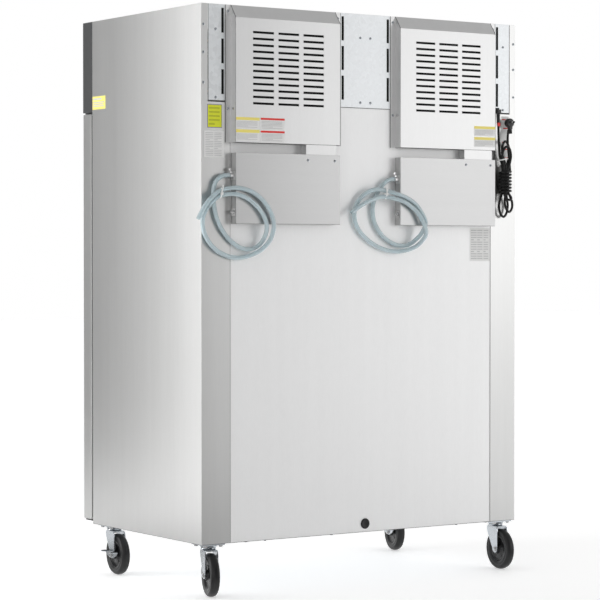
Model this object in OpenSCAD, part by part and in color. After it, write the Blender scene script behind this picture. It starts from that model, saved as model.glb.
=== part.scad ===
// Two-section upright reach-in refrigerator on casters.
// Millimetres, +Z up. The doors face -Y and the back faces +Y.
// The origin is on the floor, under the middle of the object.

/* [Cabinet] */
// Width across the side panels
cabinet_w = 1372; // [1340:1:1420]
// Depth of the side panels, front lip to rear return
cabinet_d = 769; // [740:1:800]
// Height of the side panels
cabinet_h = 1850; // [1840:1:1900]
// Height of the machine compartment floor above the cabinet's base
deck_h = 1516; // [1500:1:1520]
// Sheet thickness
skin = 1.2; // [1:0.1:1.5]
// Width of the rear return below the machine compartment
return_w = 116; // [100:1:120]
// Width of the rear flange beside the machine compartment
flange_w = 26; // [20:1:30]

/* [Doors] */
// How far doors and hood stand proud of the side panels
door_reach = 71; // [68:1:75]
// Thickness of a door without its gasket
door_t = 59; // [56:1:60]
// Gap below a door, from the cabinet's base
door_gap = 14.5; // [14:0.5:18]

/* [Rear covers] */
// Width of a louvred vent cover, between its flanges
cover_w = 436; // [420:1:440]
// How far the covers stand out from the back
cover_d = 32; // [28:1:36]
// Distance of a cover's middle from the middle of the cabinet
unit_x = 349.5; // [345:0.5:352]
// Number of louvre rows in a cover
louvre_rows = 12; // [8:1:12]

/* [Casters] */
// Overall height of a caster
caster_h = 181; // [180:1:184]
// Wheel radius
wheel_r = 75; // [72:1:75]
// Wheel width at the tread
wheel_w = 32; // [28:1:32]
// Distance from kingpin to axle, seen from above
trail = 31; // [28:1:34]

/* [Cords] */
// Diameter of the mains lead
cord_dia = 9; // [8:0.5:10]
// Diameter of a drain hose
hose_dia = 15.5; // [14:0.5:16]

/* [Hidden] */
$fn = 48;

// Main planes
half_w = cabinet_w / 2;
wheel_overhang = 61;
rear_y = (cabinet_d + door_reach - wheel_overhang) / 2;
lip_y = rear_y - cabinet_d;
front_y = lip_y - door_reach;
base_z = caster_h;
deck_z = base_z + deck_h;
top_z = base_z + cabinet_h;
lip_w = 12;
fit = 0.2;

// Storage sections
wall_t = 60;
mullion_w = 50;
cave_x0 = mullion_w / 2;
cave_x1 = half_w - wall_t;
cave_xc = (cave_x0 + cave_x1) / 2;
cave_y0 = lip_y + 1.5;
cave_y1 = rear_y - wall_t;
cave_z0 = base_z + 62;
cave_z1 = base_z + 1440;
liner_t = 1;
shelf_zs = [base_z + 420, base_z + 760, base_z + 1080];
shelf_w = 588;
shelf_y0 = -330;
shelf_d = 560;
pilaster_ys = [-300, 200];
pilaster_h = 1120;

// Doors
door_x0 = 1.5;
door_x1 = half_w - 1;
door_z0 = base_z + door_gap;
door_z1 = base_z + deck_h - 5;
door_back_y = front_y + door_t;
hinge_x = half_w - 14;
hinge_y = front_y + 25.5;
pin_r = 5;
running_gap = 0.05;
bracket_t = 4;

// Rear covers
cover_z0 = base_z + 1378;
cover_slope = 44;
cover_flange = 22;
louvre_w = 86;
louvre_h = 8;
louvre_pitch = 22.2;
louvre_step = 104.5;
louvre_top = base_z + 1762;
box_w = 434;
box_z0 = base_z + 1099;
box_z1 = base_z + 1343;
duct_x0 = -201;
duct_x1 = -73;
spigot_z = base_z + 1264;
spigot_y = rear_y + 16;
slot_w = 10;
slot_tops = [1838, 1733, 1628];
slot_len = 85;
slot_x_corner = half_w - 85.8;
slot_x_centre = 98.8;

// Machine compartment
tray_z = deck_z + 12;
fan_r = 108;
fan_z = deck_z + 160;
fan_y = -220;
evap_fan_z = base_z + 1340;
evap_fan_y = 138;
switch_x = 73;
switch_y = front_y + 7;
switch_z = deck_z + 164;

// Casters: [x, y, swivel angle]; a caster trails towards +Y turned by its angle
caster_inset_x = 54;
caster_rear_y = rear_y - 44;
caster_front_y = rear_y - 705;
casters = [
    [half_w - caster_inset_x, caster_rear_y, -17],
    [-half_w + caster_inset_x, caster_rear_y, -4.5],
    [half_w - caster_inset_x, caster_front_y, -3.5],
    [-half_w + caster_inset_x, caster_front_y, -13.5]
];
caster_plate = 84;
caster_hole = 62;
caster_hole_r = 4.5;
axle_r = 5;
leg_gap = 40;
leg_t = 4;
crown_z = 156;

// Mains lead
gland = [-597, rear_y + 12, base_z + 1518];
hank_x = -620;
hank_w = 58;
hank_y = rear_y + 25;
hank_t = 46;
hank_z0 = base_z + 1128;
hank_z1 = base_z + 1424;
plug_pos = [-643, rear_y + 20, base_z + 1483];
plug_r = 17;
lead_route = [
    [gland[0], gland[1], gland[2]],
    [-597, rear_y + 13, base_z + 1490],
    [-597, rear_y + 13, base_z + 1460],
    [-598, rear_y + 13, base_z + 1430],
    [-600, rear_y + 13, base_z + 1400]
];
plug_route = [
    [-632, rear_y + 25, base_z + 1404],
    [-632, rear_y + 24, base_z + 1425],
    [-635, rear_y + 22, base_z + 1441],
    [-638, rear_y + 20, base_z + 1455]
];

// Drain hoses, from the spigot through two turns to the open end
hose_route_right = [
    [574, 16, 1264], [598, 16, 1265], [620, 15, 1258], [637, 12, 1240], [644, 9, 1210],
    [641, 9, 1165], [630, 9, 1118], [604, 9, 1072], [562, 9, 1032], [513, 10, 1012],
    [468, 14, 1022], [446, 26, 1054], [447, 41, 1094], [470, 43, 1140], [515, 43, 1180],
    [571, 40, 1200], [628, 29, 1194], [668, 20, 1160], [688, 12, 1112], [675, 10, 1056],
    [628, 10, 1006], [552, 12, 982], [478, 24, 1000], [434, 38, 1040], [420, 45, 1092],
    [434, 46, 1140], [470, 46, 1184], [518, 45, 1212], [574, 41, 1222], [628, 31, 1212],
    [670, 30, 1182], [698, 30, 1146], [716, 28, 1114]
];
hose_route_left = [
    [-125, 16, 1264], [-101, 16, 1264], [-79, 15, 1254], [-58, 12, 1232], [-38, 9, 1200],
    [-26, 9, 1160], [-34, 9, 1108], [-72, 9, 1058], [-128, 9, 1029], [-178, 12, 1028],
    [-212, 22, 1050], [-230, 37, 1080], [-236, 44, 1114], [-202, 42, 1166], [-162, 42, 1193],
    [-118, 41, 1209], [-74, 31, 1221], [-26, 27, 1226], [18, 20, 1208], [48, 12, 1170],
    [54, 10, 1118], [22, 10, 1066], [-46, 10, 1022], [-124, 16, 1004], [-190, 32, 1018],
    [-222, 45, 1046], [-232, 53, 1078], [-207, 50, 1132], [-176, 46, 1162], [-128, 44, 1187],
    [-56, 31, 1200], [-6, 30, 1188], [40, 30, 1168], [80, 28, 1142]
];

// Helpers -----------------------------------------------------------------

module block(low, high) {
    translate(low)
        cube(high - low);
}

module mirrored(side) {
    if (side > 0)
        children();
    else
        mirror([1, 0, 0])
            children();
}

module both_sides() {
    for (side = [1, -1])
        mirrored(side)
            children();
}

// A box open on one side: outer block less an inner one
module shell(low, high, in_low, in_high) {
    difference() {
        block(low, high);
        block(in_low, in_high);
    }
}

// A picture frame in the XZ plane
module frame_xz(x0, x1, z0, z1, band, y0, y1) {
    difference() {
        block([x0, y0, z0], [x1, y1, z1]);
        block([x0 + band, y0 - 1, z0 + band], [x1 - band, y1 + 1, z1 - band]);
    }
}

// A rod along Y
module rod_y(x, z, y0, y1, r) {
    translate([x, y0, z])
        rotate([-90, 0, 0])
            cylinder(h = y1 - y0, r = r);
}

// A rod along X
module rod_x(y, z, x0, x1, r) {
    translate([x0, y, z])
        rotate([0, 90, 0])
            cylinder(h = x1 - x0, r = r);
}

// Tube swept along points: rings carried along by least turning
function unit(v) = v / norm(v);
function tangent(p, i) =
    unit(p[min(i + 1, len(p) - 1)] - p[max(i - 1, 0)]);
function across(t, n) = unit(n - (n * t) * t);
function carried(p, i, n) =
    i == 0 ? across(tangent(p, 0), n) : across(tangent(p, i), carried(p, i - 1, n));
function ring(p, i, r, sides, n) =
    let (t = tangent(p, i), a = carried(p, i, n), b = cross(t, a))
    [for (k = [0 : sides - 1])
        p[i] + r * (cos(k * 360 / sides) * a + sin(k * 360 / sides) * b)];

module sweep(p, r, sides = 8, start = [0, 1, 0]) {
    n = len(p);
    points = [for (i = [0 : n - 1]) each ring(p, i, r, sides, start)];
    wall = [for (i = [0 : n - 2]) for (k = [0 : sides - 1])
        let (k2 = (k + 1) % sides)
        each [
            [i * sides + k, (i + 1) * sides + k2, i * sides + k2],
            [i * sides + k, (i + 1) * sides + k, (i + 1) * sides + k2]
        ]];
    first = [[for (k = [0 : sides - 1]) k]];
    last = [[for (k = [sides - 1 : -1 : 0]) (n - 1) * sides + k]];
    polyhedron(points = points, faces = concat(first, wall, last), convexity = 10);
}

function from_back(p) = [for (q = p) [q[0], rear_y + q[1], base_z + q[2]]];

// Cabinet -----------------------------------------------------------------

module side_panel(side) {
    color("silver")
        mirrored(side) {
            block([half_w - skin, lip_y, base_z], [half_w, rear_y, top_z]);
            block([half_w - return_w, rear_y - skin, base_z], [half_w, rear_y, deck_z]);
            block([half_w - flange_w, rear_y - skin, deck_z], [half_w, rear_y, top_z]);
            block([half_w - lip_w, lip_y, base_z], [half_w, lip_y + skin, top_z]);
        }
}

module rear_panel() {
    tuck = half_w - return_w + 16;
    color("gainsboro")
        difference() {
            block([-tuck, rear_y - 2 * skin, base_z], [tuck, rear_y - skin, deck_z - skin]);
            rod_y(0, base_z + 30, rear_y - 4, rear_y + 1, 15);
        }
}

module bottom_panel() {
    inner = half_w - skin;
    color("darkgray")
        block([-inner, lip_y + skin, base_z], [inner, rear_y - 2 * skin, base_z + skin]);
}

module top_deck() {
    inner = half_w - skin;
    color("lightgray")
        block([-inner, lip_y + skin, deck_z - skin], [inner, rear_y - 2 * skin, deck_z]);
}

module insulation() {
    inner = half_w - skin;
    color("khaki")
        difference() {
            block([-inner, cave_y0 + fit, base_z + skin],
                  [inner, rear_y - 2 * skin, deck_z - skin]);
            both_sides()
                block([cave_x0, lip_y - 1, cave_z0], [cave_x1, cave_y1, cave_z1]);
            rod_y(0, base_z + 30, rear_y - 12, rear_y, 15);
        }
}

module liner(side) {
    color("whitesmoke")
        mirrored(side)
            shell([cave_x0, cave_y0, cave_z0], [cave_x1, cave_y1, cave_z1],
                  [cave_x0 + liner_t, cave_y0 - 1, cave_z0 + liner_t],
                  [cave_x1 - liner_t, cave_y1 - liner_t, cave_z1 - liner_t]);
}

module face_frame() {
    edge = half_w - lip_w;
    color("silver")
        difference() {
            block([-edge, lip_y, base_z + skin], [edge, cave_y0, deck_z - skin]);
            both_sides()
                block([cave_x0 + liner_t, lip_y - 1, cave_z0 + liner_t],
                      [cave_x1 - liner_t, cave_y0 + 1, cave_z1 - liner_t]);
        }
}

// One slotted strip against the +X wall of a section
module pilaster(y) {
    z0 = cave_z0 + 120;
    x1 = cave_x1 - liner_t;
    difference() {
        block([x1 - 3, y - 9, z0], [x1, y + 9, z0 + pilaster_h]);
        for (i = [0 : 17])
            block([x1 - 4, y - 4, z0 + 40 + i * 60], [x1 + 1, y + 4, z0 + 54 + i * 60]);
    }
}

module shelf_clip(y, z) {
    x1 = cave_x1 - liner_t - 3;
    block([x1 - 6, y - 7, z - 18], [x1 - 0.1, y + 7, z]);
}

module shelf_supports() {
    color("gainsboro")
        both_sides()
            for (flip = [0, 1])
                translate([flip * 2 * cave_xc, 0, 0])
                    mirror([flip, 0, 0])
                        for (y = pilaster_ys) {
                            pilaster(y);
                            for (z = shelf_zs)
                                shelf_clip(y, z);
                        }
}

// A wire shelf: long wires over three cross bars
module shelf(z) {
    bar = 6;
    wire = 4;
    x0 = cave_xc - shelf_w / 2;
    for (y = [shelf_y0, shelf_y0 + shelf_d / 2, shelf_y0 + shelf_d - bar])
        block([x0, y, z], [x0 + shelf_w, y + bar, z + bar]);
    for (i = [0 : 22])
        translate([x0 + i * (shelf_w - wire) / 22, shelf_y0, z + bar - 0.5])
            cube([wire, shelf_d, wire]);
}

module shelves() {
    color("lightgray")
        both_sides()
            for (z = shelf_zs)
                shelf(z);
}

module rear_plug() {
    color("black")
        rotate([-90, 0, 0])
            translate([0, -base_z - 30, rear_y - 6]) {
                cylinder(h = 5, r = 14.8);
                translate([0, 0, 6 - skin])
                    cylinder(h = 4, r = 18);
            }
}

// Machine compartment skins ------------------------------------------------

module slot_column(x) {
    for (top = slot_tops)
        block([x - slot_w / 2, rear_y - 5, base_z + top - slot_len],
              [x + slot_w / 2, rear_y + 5, base_z + top]);
}

module corner_sheets() {
    color("lightsteelblue")
        both_sides()
            difference() {
                block([half_w - 118, rear_y - skin, deck_z + 5],
                      [half_w - flange_w - 2, rear_y, top_z]);
                slot_column(slot_x_corner);
            }
}

module centre_sheet() {
    color("lightsteelblue")
        difference() {
            block([-126, rear_y - skin, deck_z], [126, rear_y, top_z]);
            both_sides()
                slot_column(slot_x_centre);
        }
}

// Louvred cover: a pan with a sloped top, screwed on by side flanges
module vent_cover(side) {
    x0 = side * unit_x - cover_w / 2;
    wall = 1;
    color("gainsboro") {
        difference() {
            translate([x0, 0, 0])
                rotate([90, 0, 90])
                    linear_extrude(cover_w)
                        polygon([
                            [rear_y + fit, cover_z0], [rear_y + cover_d, cover_z0],
                            [rear_y + cover_d, top_z - cover_slope], [rear_y + fit, top_z]
                        ]);
            translate([x0 + wall, 0, 0])
                rotate([90, 0, 90])
                    linear_extrude(cover_w - 2 * wall)
                        polygon([
                            [rear_y - 1, cover_z0 + wall],
                            [rear_y + cover_d - wall, cover_z0 + wall],
                            [rear_y + cover_d - wall, top_z - cover_slope - 1],
                            [rear_y - 1, top_z - 2.4]
                        ]);
            for (col = [-1 : 1])
                for (row = [0 : louvre_rows - 1])
                    translate([side * unit_x + col * louvre_step - louvre_w / 2,
                               rear_y + cover_d - 3,
                               louvre_top - row * louvre_pitch - louvre_h])
                        cube([louvre_w, 5, louvre_h]);
        }
        for (x = [x0 - cover_flange, x0 + cover_w - 1])
            block([x, rear_y + fit, cover_z0], [x + cover_flange + 1, rear_y + 1.2, top_z]);
    }
}

module condensate_box(side) {
    x0 = side * unit_x - box_w / 2;
    color("silver")
        shell([x0, rear_y + fit, box_z0], [x0 + box_w, rear_y + cover_d, box_z1],
              [x0 + 1, rear_y - 1, box_z0 + 1], [x0 + box_w - 1, rear_y + cover_d - 1, box_z1 - 1]);
}

// Duct from the cover down to the box, and the hose spigot on its nut
module drain_fittings() {
    color("lightgray")
        for (side = [1, -1])
            translate([side * unit_x, 0, 0]) {
                block([duct_x0, rear_y + fit, box_z1 + fit],
                      [duct_x1, rear_y + cover_d, cover_z0 - fit]);
                block([box_w / 2 + fit, spigot_y - 13, spigot_z - 15],
                      [box_w / 2 + 2, spigot_y + 13, spigot_z + 15]);
                rod_x(spigot_y, spigot_z, box_w / 2 + 1, box_w / 2 + 7.5, 6.5);
            }
}

module screw_at(x, z, proud = 0) {
    translate([x, rear_y + proud + 0.1, z])
        rotate([-90, 0, 0])
            cylinder(h = 2.4, r = 4.2, $fn = 24);
}

module rear_screws() {
    color("gray") {
        for (z = [base_z + 1535, base_z + 1765])
            for (x = [-22, 22])
                screw_at(x, z);
        both_sides()
            for (z = [base_z + 1531, base_z + 1764])
                screw_at(628, z);
        both_sides()
            for (z = [base_z + 1580, base_z + 1683, base_z + 1778])
                screw_at(half_w - 8.6, z);
        for (side = [1, -1])
            translate([side * unit_x, 0, 0]) {
                for (x = [-229.5, 229.5])
                    for (z = [base_z + 1495, base_z + 1828])
                        screw_at(x, z, 1.2);
                for (x = [-195, -81])
                    screw_at(x, base_z + 1323, cover_d);
            }
    }
}

// Hood ---------------------------------------------------------------------

module hood() {
    cap = 20;
    z0 = deck_z + 1;
    x1 = half_w - cap;
    color("silver")
        difference() {
            union() {
                block([-x1, front_y, z0], [x1, front_y + skin, top_z]);
                block([-x1, front_y, z0], [x1, lip_y - 5, z0 + skin]);
                block([-x1, front_y, top_z - skin], [x1, lip_y - 0.5, top_z]);
            }
            both_sides()
                for (row = [0 : 9])
                    block([150, front_y - 1, z0 + 60 + row * 22],
                          [580, front_y + 5, z0 + 69 + row * 22]);
            block([-38, front_y - 1, z0 + 146], [38, front_y + 5, z0 + 180]);
            block([61, front_y - 1, z0 + 148], [85, front_y + 5, z0 + 178]);
        }
}

module hood_caps() {
    color("dimgray")
        both_sides()
            difference() {
                block([half_w - 19.8, front_y, deck_z + 1], [half_w, lip_y - 0.5, top_z]);
                block([half_w - 21, lip_y - 3.6, deck_z], [half_w - 1, lip_y, deck_z + 41]);
            }
}

module controller() {
    z0 = deck_z + 1;
    color("black") {
        block([-37.5, front_y - 3, z0 + 146.5], [37.5, front_y + 40, z0 + 179.5]);
        shell([61.5, front_y - 1.5, z0 + 148.5], [84.5, front_y + 22, z0 + 177.5],
              [63, front_y - 3, z0 + 150], [83, front_y + 18, z0 + 176]);
    }
}

// Rocker, tilted to its lower side
module power_switch() {
    color("firebrick")
        translate([switch_x, switch_y, switch_z])
            rotate([8, 0, 0])
                rotate([90, 0, 90])
                    translate([0, 0, -9.5])
                        linear_extrude(19)
                            polygon([[-7, -10], [-5, 0], [-7, 10], [4, 9], [6, 0], [4, -9]]);
}

// Refrigeration units ------------------------------------------------------

module at_units() {
    for (side = [1, -1])
        translate([side * unit_x, 0, 0])
            children();
}

module unit_trays() {
    color("darkgray")
        at_units() {
            shell([-270, -330, tray_z], [270, 330, tray_z + 16],
                  [-268, -328, tray_z + 2], [268, 328, tray_z + 20]);
            for (x = [-230, 230])
                for (y = [-280, 280])
                    translate([x, y, deck_z])
                        cylinder(h = 12, r = 14);
        }
}

module compressors() {
    color("black")
        at_units()
            translate([-120, 90, tray_z + 2]) {
                for (x = [-85, 85])
                    for (y = [-60, 60])
                        translate([x, y, 0])
                            cylinder(h = 14, r = 12);
                block([-100, -75, 14], [100, 75, 18]);
                translate([0, 0, 18])
                    rotate_extrude()
                        polygon([[0, 0], [70, 0], [86, 12], [92, 30], [92, 112], [86, 134],
                                 [70, 152], [44, 164], [0, 168]]);
                block([84, -34, 60], [128, 34, 130]);
            }
}

module condensers() {
    color("slategray")
        at_units() {
            difference() {
                block([-190, -320, tray_z + 2], [190, -262, tray_z + 290]);
                for (i = [0 : 29])
                    block([-180 + i * 12.2, -330, tray_z + 14], [-172 + i * 12.2, -308, tray_z + 279]);
            }
            for (i = [0 : 5])
                for (x = [190, -202])
                    rod_x(-291, tray_z + 40 + i * 42, x, x + 12, 5);
        }
}

module fan_shrouds() {
    color("dimgray")
        at_units() {
            difference() {
                block([-190, -261.8, tray_z + 2], [190, -196, tray_z + 290]);
                block([-188, -263, tray_z + 4], [188, -198, tray_z + 288]);
                rod_y(0, fan_z, -200, -190, fan_r + 6);
            }
            rod_y(0, fan_z, -188, -120, 42);
            rod_y(0, fan_z, fan_y - 9, -188, 4);
            block([-160, -196, fan_z - 8], [160, -192, fan_z + 8]);
            block([-42, -192, fan_z - 8], [42, -186, fan_z + 8]);
        }
}

// A bladed rotor about Y, hub bored for its shaft
module rotor(r, hub_r, depth, shaft_r) {
    difference() {
        union() {
            rotate([-90, 0, 0])
                translate([0, 0, -depth / 2])
                    cylinder(h = depth, r = hub_r);
            for (i = [0 : 4])
                rotate([0, i * 72, 0])
                    translate([hub_r - 3, 0, 0])
                        rotate([28, 0, 0])
                            translate([0, -1, -r * 0.3])
                                cube([r - hub_r - 8, 2, r * 0.6]);
        }
        rotate([-90, 0, 0])
            translate([0, 0, -depth])
                cylinder(h = 2 * depth, r = shaft_r + running_gap);
    }
}

module condenser_fan(side) {
    color("gray")
        translate([side * unit_x, fan_y, fan_z])
            rotor(fan_r, 22, 18, 4);
}

module refrigerant_lines() {
    z = tray_z;
    color("peru")
        at_units() {
            sweep([[206, -291, z + 250], [222, -291, z + 246], [230, -280, z + 232],
                   [230, -180, z + 226], [230, 60, z + 226], [222, 150, z + 222],
                   [180, 190, z + 216], [90, 196, z + 212], [20, 180, z + 206],
                   [-10, 150, z + 196], [-20, 120, z + 190]], 4.5);
            sweep([[206, -291, z + 40], [224, -291, z + 42], [234, -276, z + 48],
                   [234, -100, z + 50], [234, 120, z + 50], [220, 200, z + 44],
                   [180, 230, z + 24], [170, 236, z + 4]], 4);
            translate([120, 60, z + 2.2])
                rotate_extrude()
                    polygon([[0, 0], [40, 0], [52, 12], [52, 132], [40, 146], [0, 152]]);
        }
}

module evaporators() {
    color("gainsboro")
        for (side = [1, -1])
            translate([side * cave_xc, 0, 0]) {
                difference() {
                    block([-240, 110, evap_fan_z - 76], [240, 322, cave_z1 - liner_t - 1]);
                    block([-239, 111, evap_fan_z - 75], [239, 330, cave_z1 - liner_t - 2]);
                    rod_y(0, evap_fan_z, 100, 120, 60);
                }
                block([-225, 230, evap_fan_z - 58], [225, 310, evap_fan_z + 82]);
                rod_y(0, evap_fan_z, 150, 200, 24);
                rod_y(0, evap_fan_z, evap_fan_y - 7, 150, 3);
                block([-239, 200, evap_fan_z - 8], [239, 204, evap_fan_z + 8]);
            }
}

module evaporator_fan(side) {
    color("white")
        translate([side * cave_xc, evap_fan_y, evap_fan_z])
            rotor(54, 14, 14, 3);
}

// Doors --------------------------------------------------------------------

module hinge_bush(z0) {
    block([hinge_x - 13, hinge_y - 15, z0], [hinge_x + 13, hinge_y + 15, z0 + 18]);
}

module door(side) {
    pull = [door_x0 + 18, door_x0 + 66, base_z + 620, base_z + 900];
    color("silver")
        mirrored(side)
            difference() {
                union() {
                    shell([door_x0, front_y, door_z0], [door_x1, door_back_y, door_z1],
                          [door_x0 + skin, front_y + skin, door_z0 + skin],
                          [door_x1 - skin, door_back_y + 1, door_z1 - skin]);
                    hinge_bush(door_z0);
                    hinge_bush(door_z1 - 18);
                    block([pull[0] - 1, front_y, pull[2] - 1], [pull[1] + 1, front_y + 31, pull[3] + 1]);
                }
                block([pull[0], front_y - 1, pull[2]], [pull[1], front_y + 30, pull[3]]);
                translate([hinge_x, hinge_y, door_z0 - 1])
                    cylinder(h = door_z1 - door_z0 + 2, r = pin_r + running_gap);
            }
}

module door_liner(side) {
    x0 = door_x0 + skin + fit;
    x1 = door_x1 - skin - fit;
    z0 = door_z0 + skin + fit;
    z1 = door_z1 - skin - fit;
    t = 2.5;
    color("whitesmoke")
        mirrored(side)
            difference() {
                union() {
                    block([x0, door_back_y - t, z0], [x1, door_back_y, z1]);
                    block([x0 + 48, door_back_y - t, cave_z0 + 14],
                          [cave_x1 - 14, lip_y + 10, cave_z1 - 14]);
                }
                block([x0 + 48 + t, door_back_y - 2 * t, cave_z0 + 14 + t],
                      [cave_x1 - 14 - t, lip_y + 10 - t, cave_z1 - 14 - t]);
            }
}

module gasket(side) {
    color("dimgray")
        mirrored(side)
            frame_xz(8, cave_x1 + 19, cave_z0 - 18, cave_z1 + 18, 16,
                     door_back_y + 0.1, lip_y - 0.3);
}

module hinge_bracket(z0, pin_z0, pin_z1, tab_z0, tab_z1) {
    block([half_w - 40, hinge_y - 12, z0], [half_w - 2, lip_y - 0.1, z0 + bracket_t]);
    block([half_w - 40, lip_y - 3, tab_z0], [half_w - 2, lip_y - 0.1, tab_z1]);
    translate([hinge_x, hinge_y, pin_z0])
        cylinder(h = pin_z1 - pin_z0, r = pin_r);
}

module hinge_brackets() {
    top = door_z1 + 0.8;
    low = door_z0 - 0.8 - bracket_t;
    color("black")
        both_sides() {
            hinge_bracket(top, door_z1 - 14, top + 1, top, top + 44);
            hinge_bracket(low, low + bracket_t - 1, door_z0 + 14, base_z, low + bracket_t);
        }
}

// Casters ------------------------------------------------------------------

module at_caster(i) {
    translate([casters[i][0], casters[i][1], 0])
        rotate([0, 0, casters[i][2]])
            children();
}

module caster_plates() {
    half = caster_plate / 2;
    color("silver")
        for (c = casters)
            translate([c[0], c[1], 0]) {
                difference() {
                    block([-half, -half, caster_h - 5], [half, half, caster_h - 0.1]);
                    for (x = [-1, 1])
                        for (y = [-1, 1])
                            translate([x * caster_hole / 2, y * caster_hole / 2, caster_h - 6])
                                cylinder(h = 8, r = caster_hole_r);
                }
                translate([0, 0, caster_h - 13])
                    cylinder(h = 9, r = 29);
                translate([0, 0, crown_z - 5])
                    cylinder(h = caster_h - 8 - crown_z, r = 6);
                translate([0, 0, crown_z - 5.5])
                    cylinder(h = 5, r = 10);
            }
}

// Side plate of a fork, drawn in the plane of the wheel
module fork_leg(x) {
    translate([x, 0, 0])
        rotate([90, 0, 90])
            linear_extrude(leg_t)
                difference() {
                    union() {
                        polygon([[-24, crown_z + 1], [-22, 140], [18, 68], [40, 64], [46, 78],
                                 [46, 140], [42, crown_z + 1]]);
                        translate([trail, wheel_r])
                            circle(r = 14);
                    }
                    translate([trail, wheel_r])
                        circle(r = axle_r - 1);
                }
}

module caster_fork(i) {
    half_gap = leg_gap / 2;
    braked = i > 1;
    color("gainsboro")
        at_caster(i) {
            difference() {
                union() {
                    block([-half_gap - leg_t, -24, crown_z], [half_gap + leg_t, 42, crown_z + 4]);
                    translate([0, 0, crown_z + 3])
                        cylinder(h = caster_h - 13.4 - crown_z - 3, r = 26);
                    fork_leg(-half_gap - leg_t);
                    fork_leg(half_gap);
                }
                translate([0, 0, crown_z - 2])
                    cylinder(h = 30, r = 6 + running_gap);
            }
            rod_x(trail, wheel_r, -half_gap - leg_t - 8, half_gap + leg_t + (braked ? 12 : 8), axle_r);
            rod_x(trail, wheel_r, -half_gap - leg_t - 6, -half_gap - leg_t, 9);
            nut_x = half_gap + leg_t + (braked ? 5 : 0);
            rod_x(trail, wheel_r, nut_x, nut_x + 6, 9);
        }
}

module caster_wheel(i) {
    half = wheel_w / 2;
    color("black")
        at_caster(i)
            translate([0, trail, wheel_r])
                rotate([0, 90, 0])
                    rotate_extrude($fn = 96)
                        polygon([
                            [axle_r + running_gap, -19], [14, -19], [16, -12], [40, -7],
                            [46, -13], [58, -half], [70, -half + 2], [wheel_r - 1, -8], [wheel_r, -4],
                            [wheel_r, 4], [wheel_r - 1, 8], [70, half - 2], [58, half],
                            [46, 13], [40, 7], [16, 12], [14, 19], [axle_r + running_gap, 19]
                        ]);
}

// See-saw lever on the axle, outside the +X leg of a front fork
module brake_lever(i) {
    x0 = leg_gap / 2 + leg_t + 1;
    color("silver")
        at_caster(i)
            difference() {
                union() {
                    translate([x0, trail, wheel_r])
                        rotate([90, 0, 90])
                            linear_extrude(3)
                                polygon([[-50, 6], [-40, -2], [-12, -11], [12, -11], [40, -2],
                                         [50, 6], [50, 12], [36, 9], [12, 12], [-12, 12],
                                         [-36, 9], [-50, 12]]);
                    for (y = [-50, 28])
                        block([x0, trail + y, wheel_r + 9], [x0 + 24, trail + y + 22, wheel_r + 12]);
                }
                rod_x(trail, wheel_r, x0 - 5, x0 + 10, axle_r + running_gap);
            }
}

// Cords --------------------------------------------------------------------

module drain_hose(side) {
    route = from_back(side > 0 ? hose_route_right : hose_route_left);
    color("lightblue")
        sweep(route, hose_dia / 2, 8);
}

module power_gland() {
    color("black")
        block([gland[0] - 7, rear_y + 0.1, gland[2]], [gland[0] + 7, rear_y + 22, gland[2] + 20]);
}

module power_cord() {
    color("black") {
        sweep(lead_route, cord_dia / 2, 10);
        sweep(plug_route, cord_dia / 2, 10);
    }
}

module cord_hank() {
    r = hank_w / 2;
    color("black")
        translate([hank_x, hank_y + hank_t / 2, 0])
            rotate([90, 0, 0])
                linear_extrude(hank_t) {
                    translate([0, hank_z0 + r])
                        circle(r = r);
                    translate([0, hank_z1 - r])
                        circle(r = r);
                    translate([-r, hank_z0 + r])
                        square([2 * r, hank_z1 - hank_z0 - 2 * r]);
                }
}

// Ties round the hoses where their turns cross, and round the hank's neck
module cord_ties() {
    color("white") {
        translate([628, rear_y + 37, base_z + 1203])
            cube([8, 2.5, 44], center = true);
        translate([-66, rear_y + 39, base_z + 1211])
            cube([8, 2.5, 44], center = true);
        translate([hank_x, hank_y + hank_t / 2 + 1.6, base_z + 1352])
            cube([40, 3, 5], center = true);
    }
}

module plug() {
    color("black")
        translate(plug_pos) {
            rotate([-90, 0, 0])
                translate([0, 0, -11])
                    cylinder(h = 22, r = plug_r);
            rotate([0, 10, 0])
                translate([0, 0, -28])
                    cylinder(h = 20, r = 8);
            for (x = [-6.3, 6.3])
                block([x - 0.8, 10, -1], [x + 0.8, 27, 6]);
            rod_y(0, -8, 10, 28, 2.4);
        }
}

// Nodes --------------------------------------------------------------------

side_panel(1);  // side_panel_right
side_panel(-1);  // side_panel_left
rear_panel();
bottom_panel();
top_deck();
insulation();
liner(1);  // liner_right
liner(-1);  // liner_left
face_frame();
shelf_supports();
shelves();
rear_plug();
corner_sheets();
centre_sheet();
vent_cover(1);  // vent_cover_right
vent_cover(-1);  // vent_cover_left
condensate_box(1);  // condensate_box_right
condensate_box(-1);  // condensate_box_left
drain_fittings();
rear_screws();
hood();
hood_caps();
controller();
power_switch();
unit_trays();
compressors();
condensers();
fan_shrouds();
refrigerant_lines();
condenser_fan(1);  // condenser_fan_right
condenser_fan(-1);  // condenser_fan_left
evaporators();
evaporator_fan(1);  // evaporator_fan_right
evaporator_fan(-1);  // evaporator_fan_left
door(1);  // door_right
door(-1);  // door_left
door_liner(1);  // door_liner_right
door_liner(-1);  // door_liner_left
gasket(1);  // gasket_right
gasket(-1);  // gasket_left
hinge_brackets();
caster_plates();
caster_fork(0);  // caster_fork_rear_right
caster_fork(1);  // caster_fork_rear_left
caster_fork(2);  // caster_fork_front_right
caster_fork(3);  // caster_fork_front_left
caster_wheel(0);  // caster_wheel_rear_right
caster_wheel(1);  // caster_wheel_rear_left
caster_wheel(2);  // caster_wheel_front_right
caster_wheel(3);  // caster_wheel_front_left
brake_lever(2);  // brake_lever_right
brake_lever(3);  // brake_lever_left
drain_hose(1);  // drain_hose_right
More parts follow.
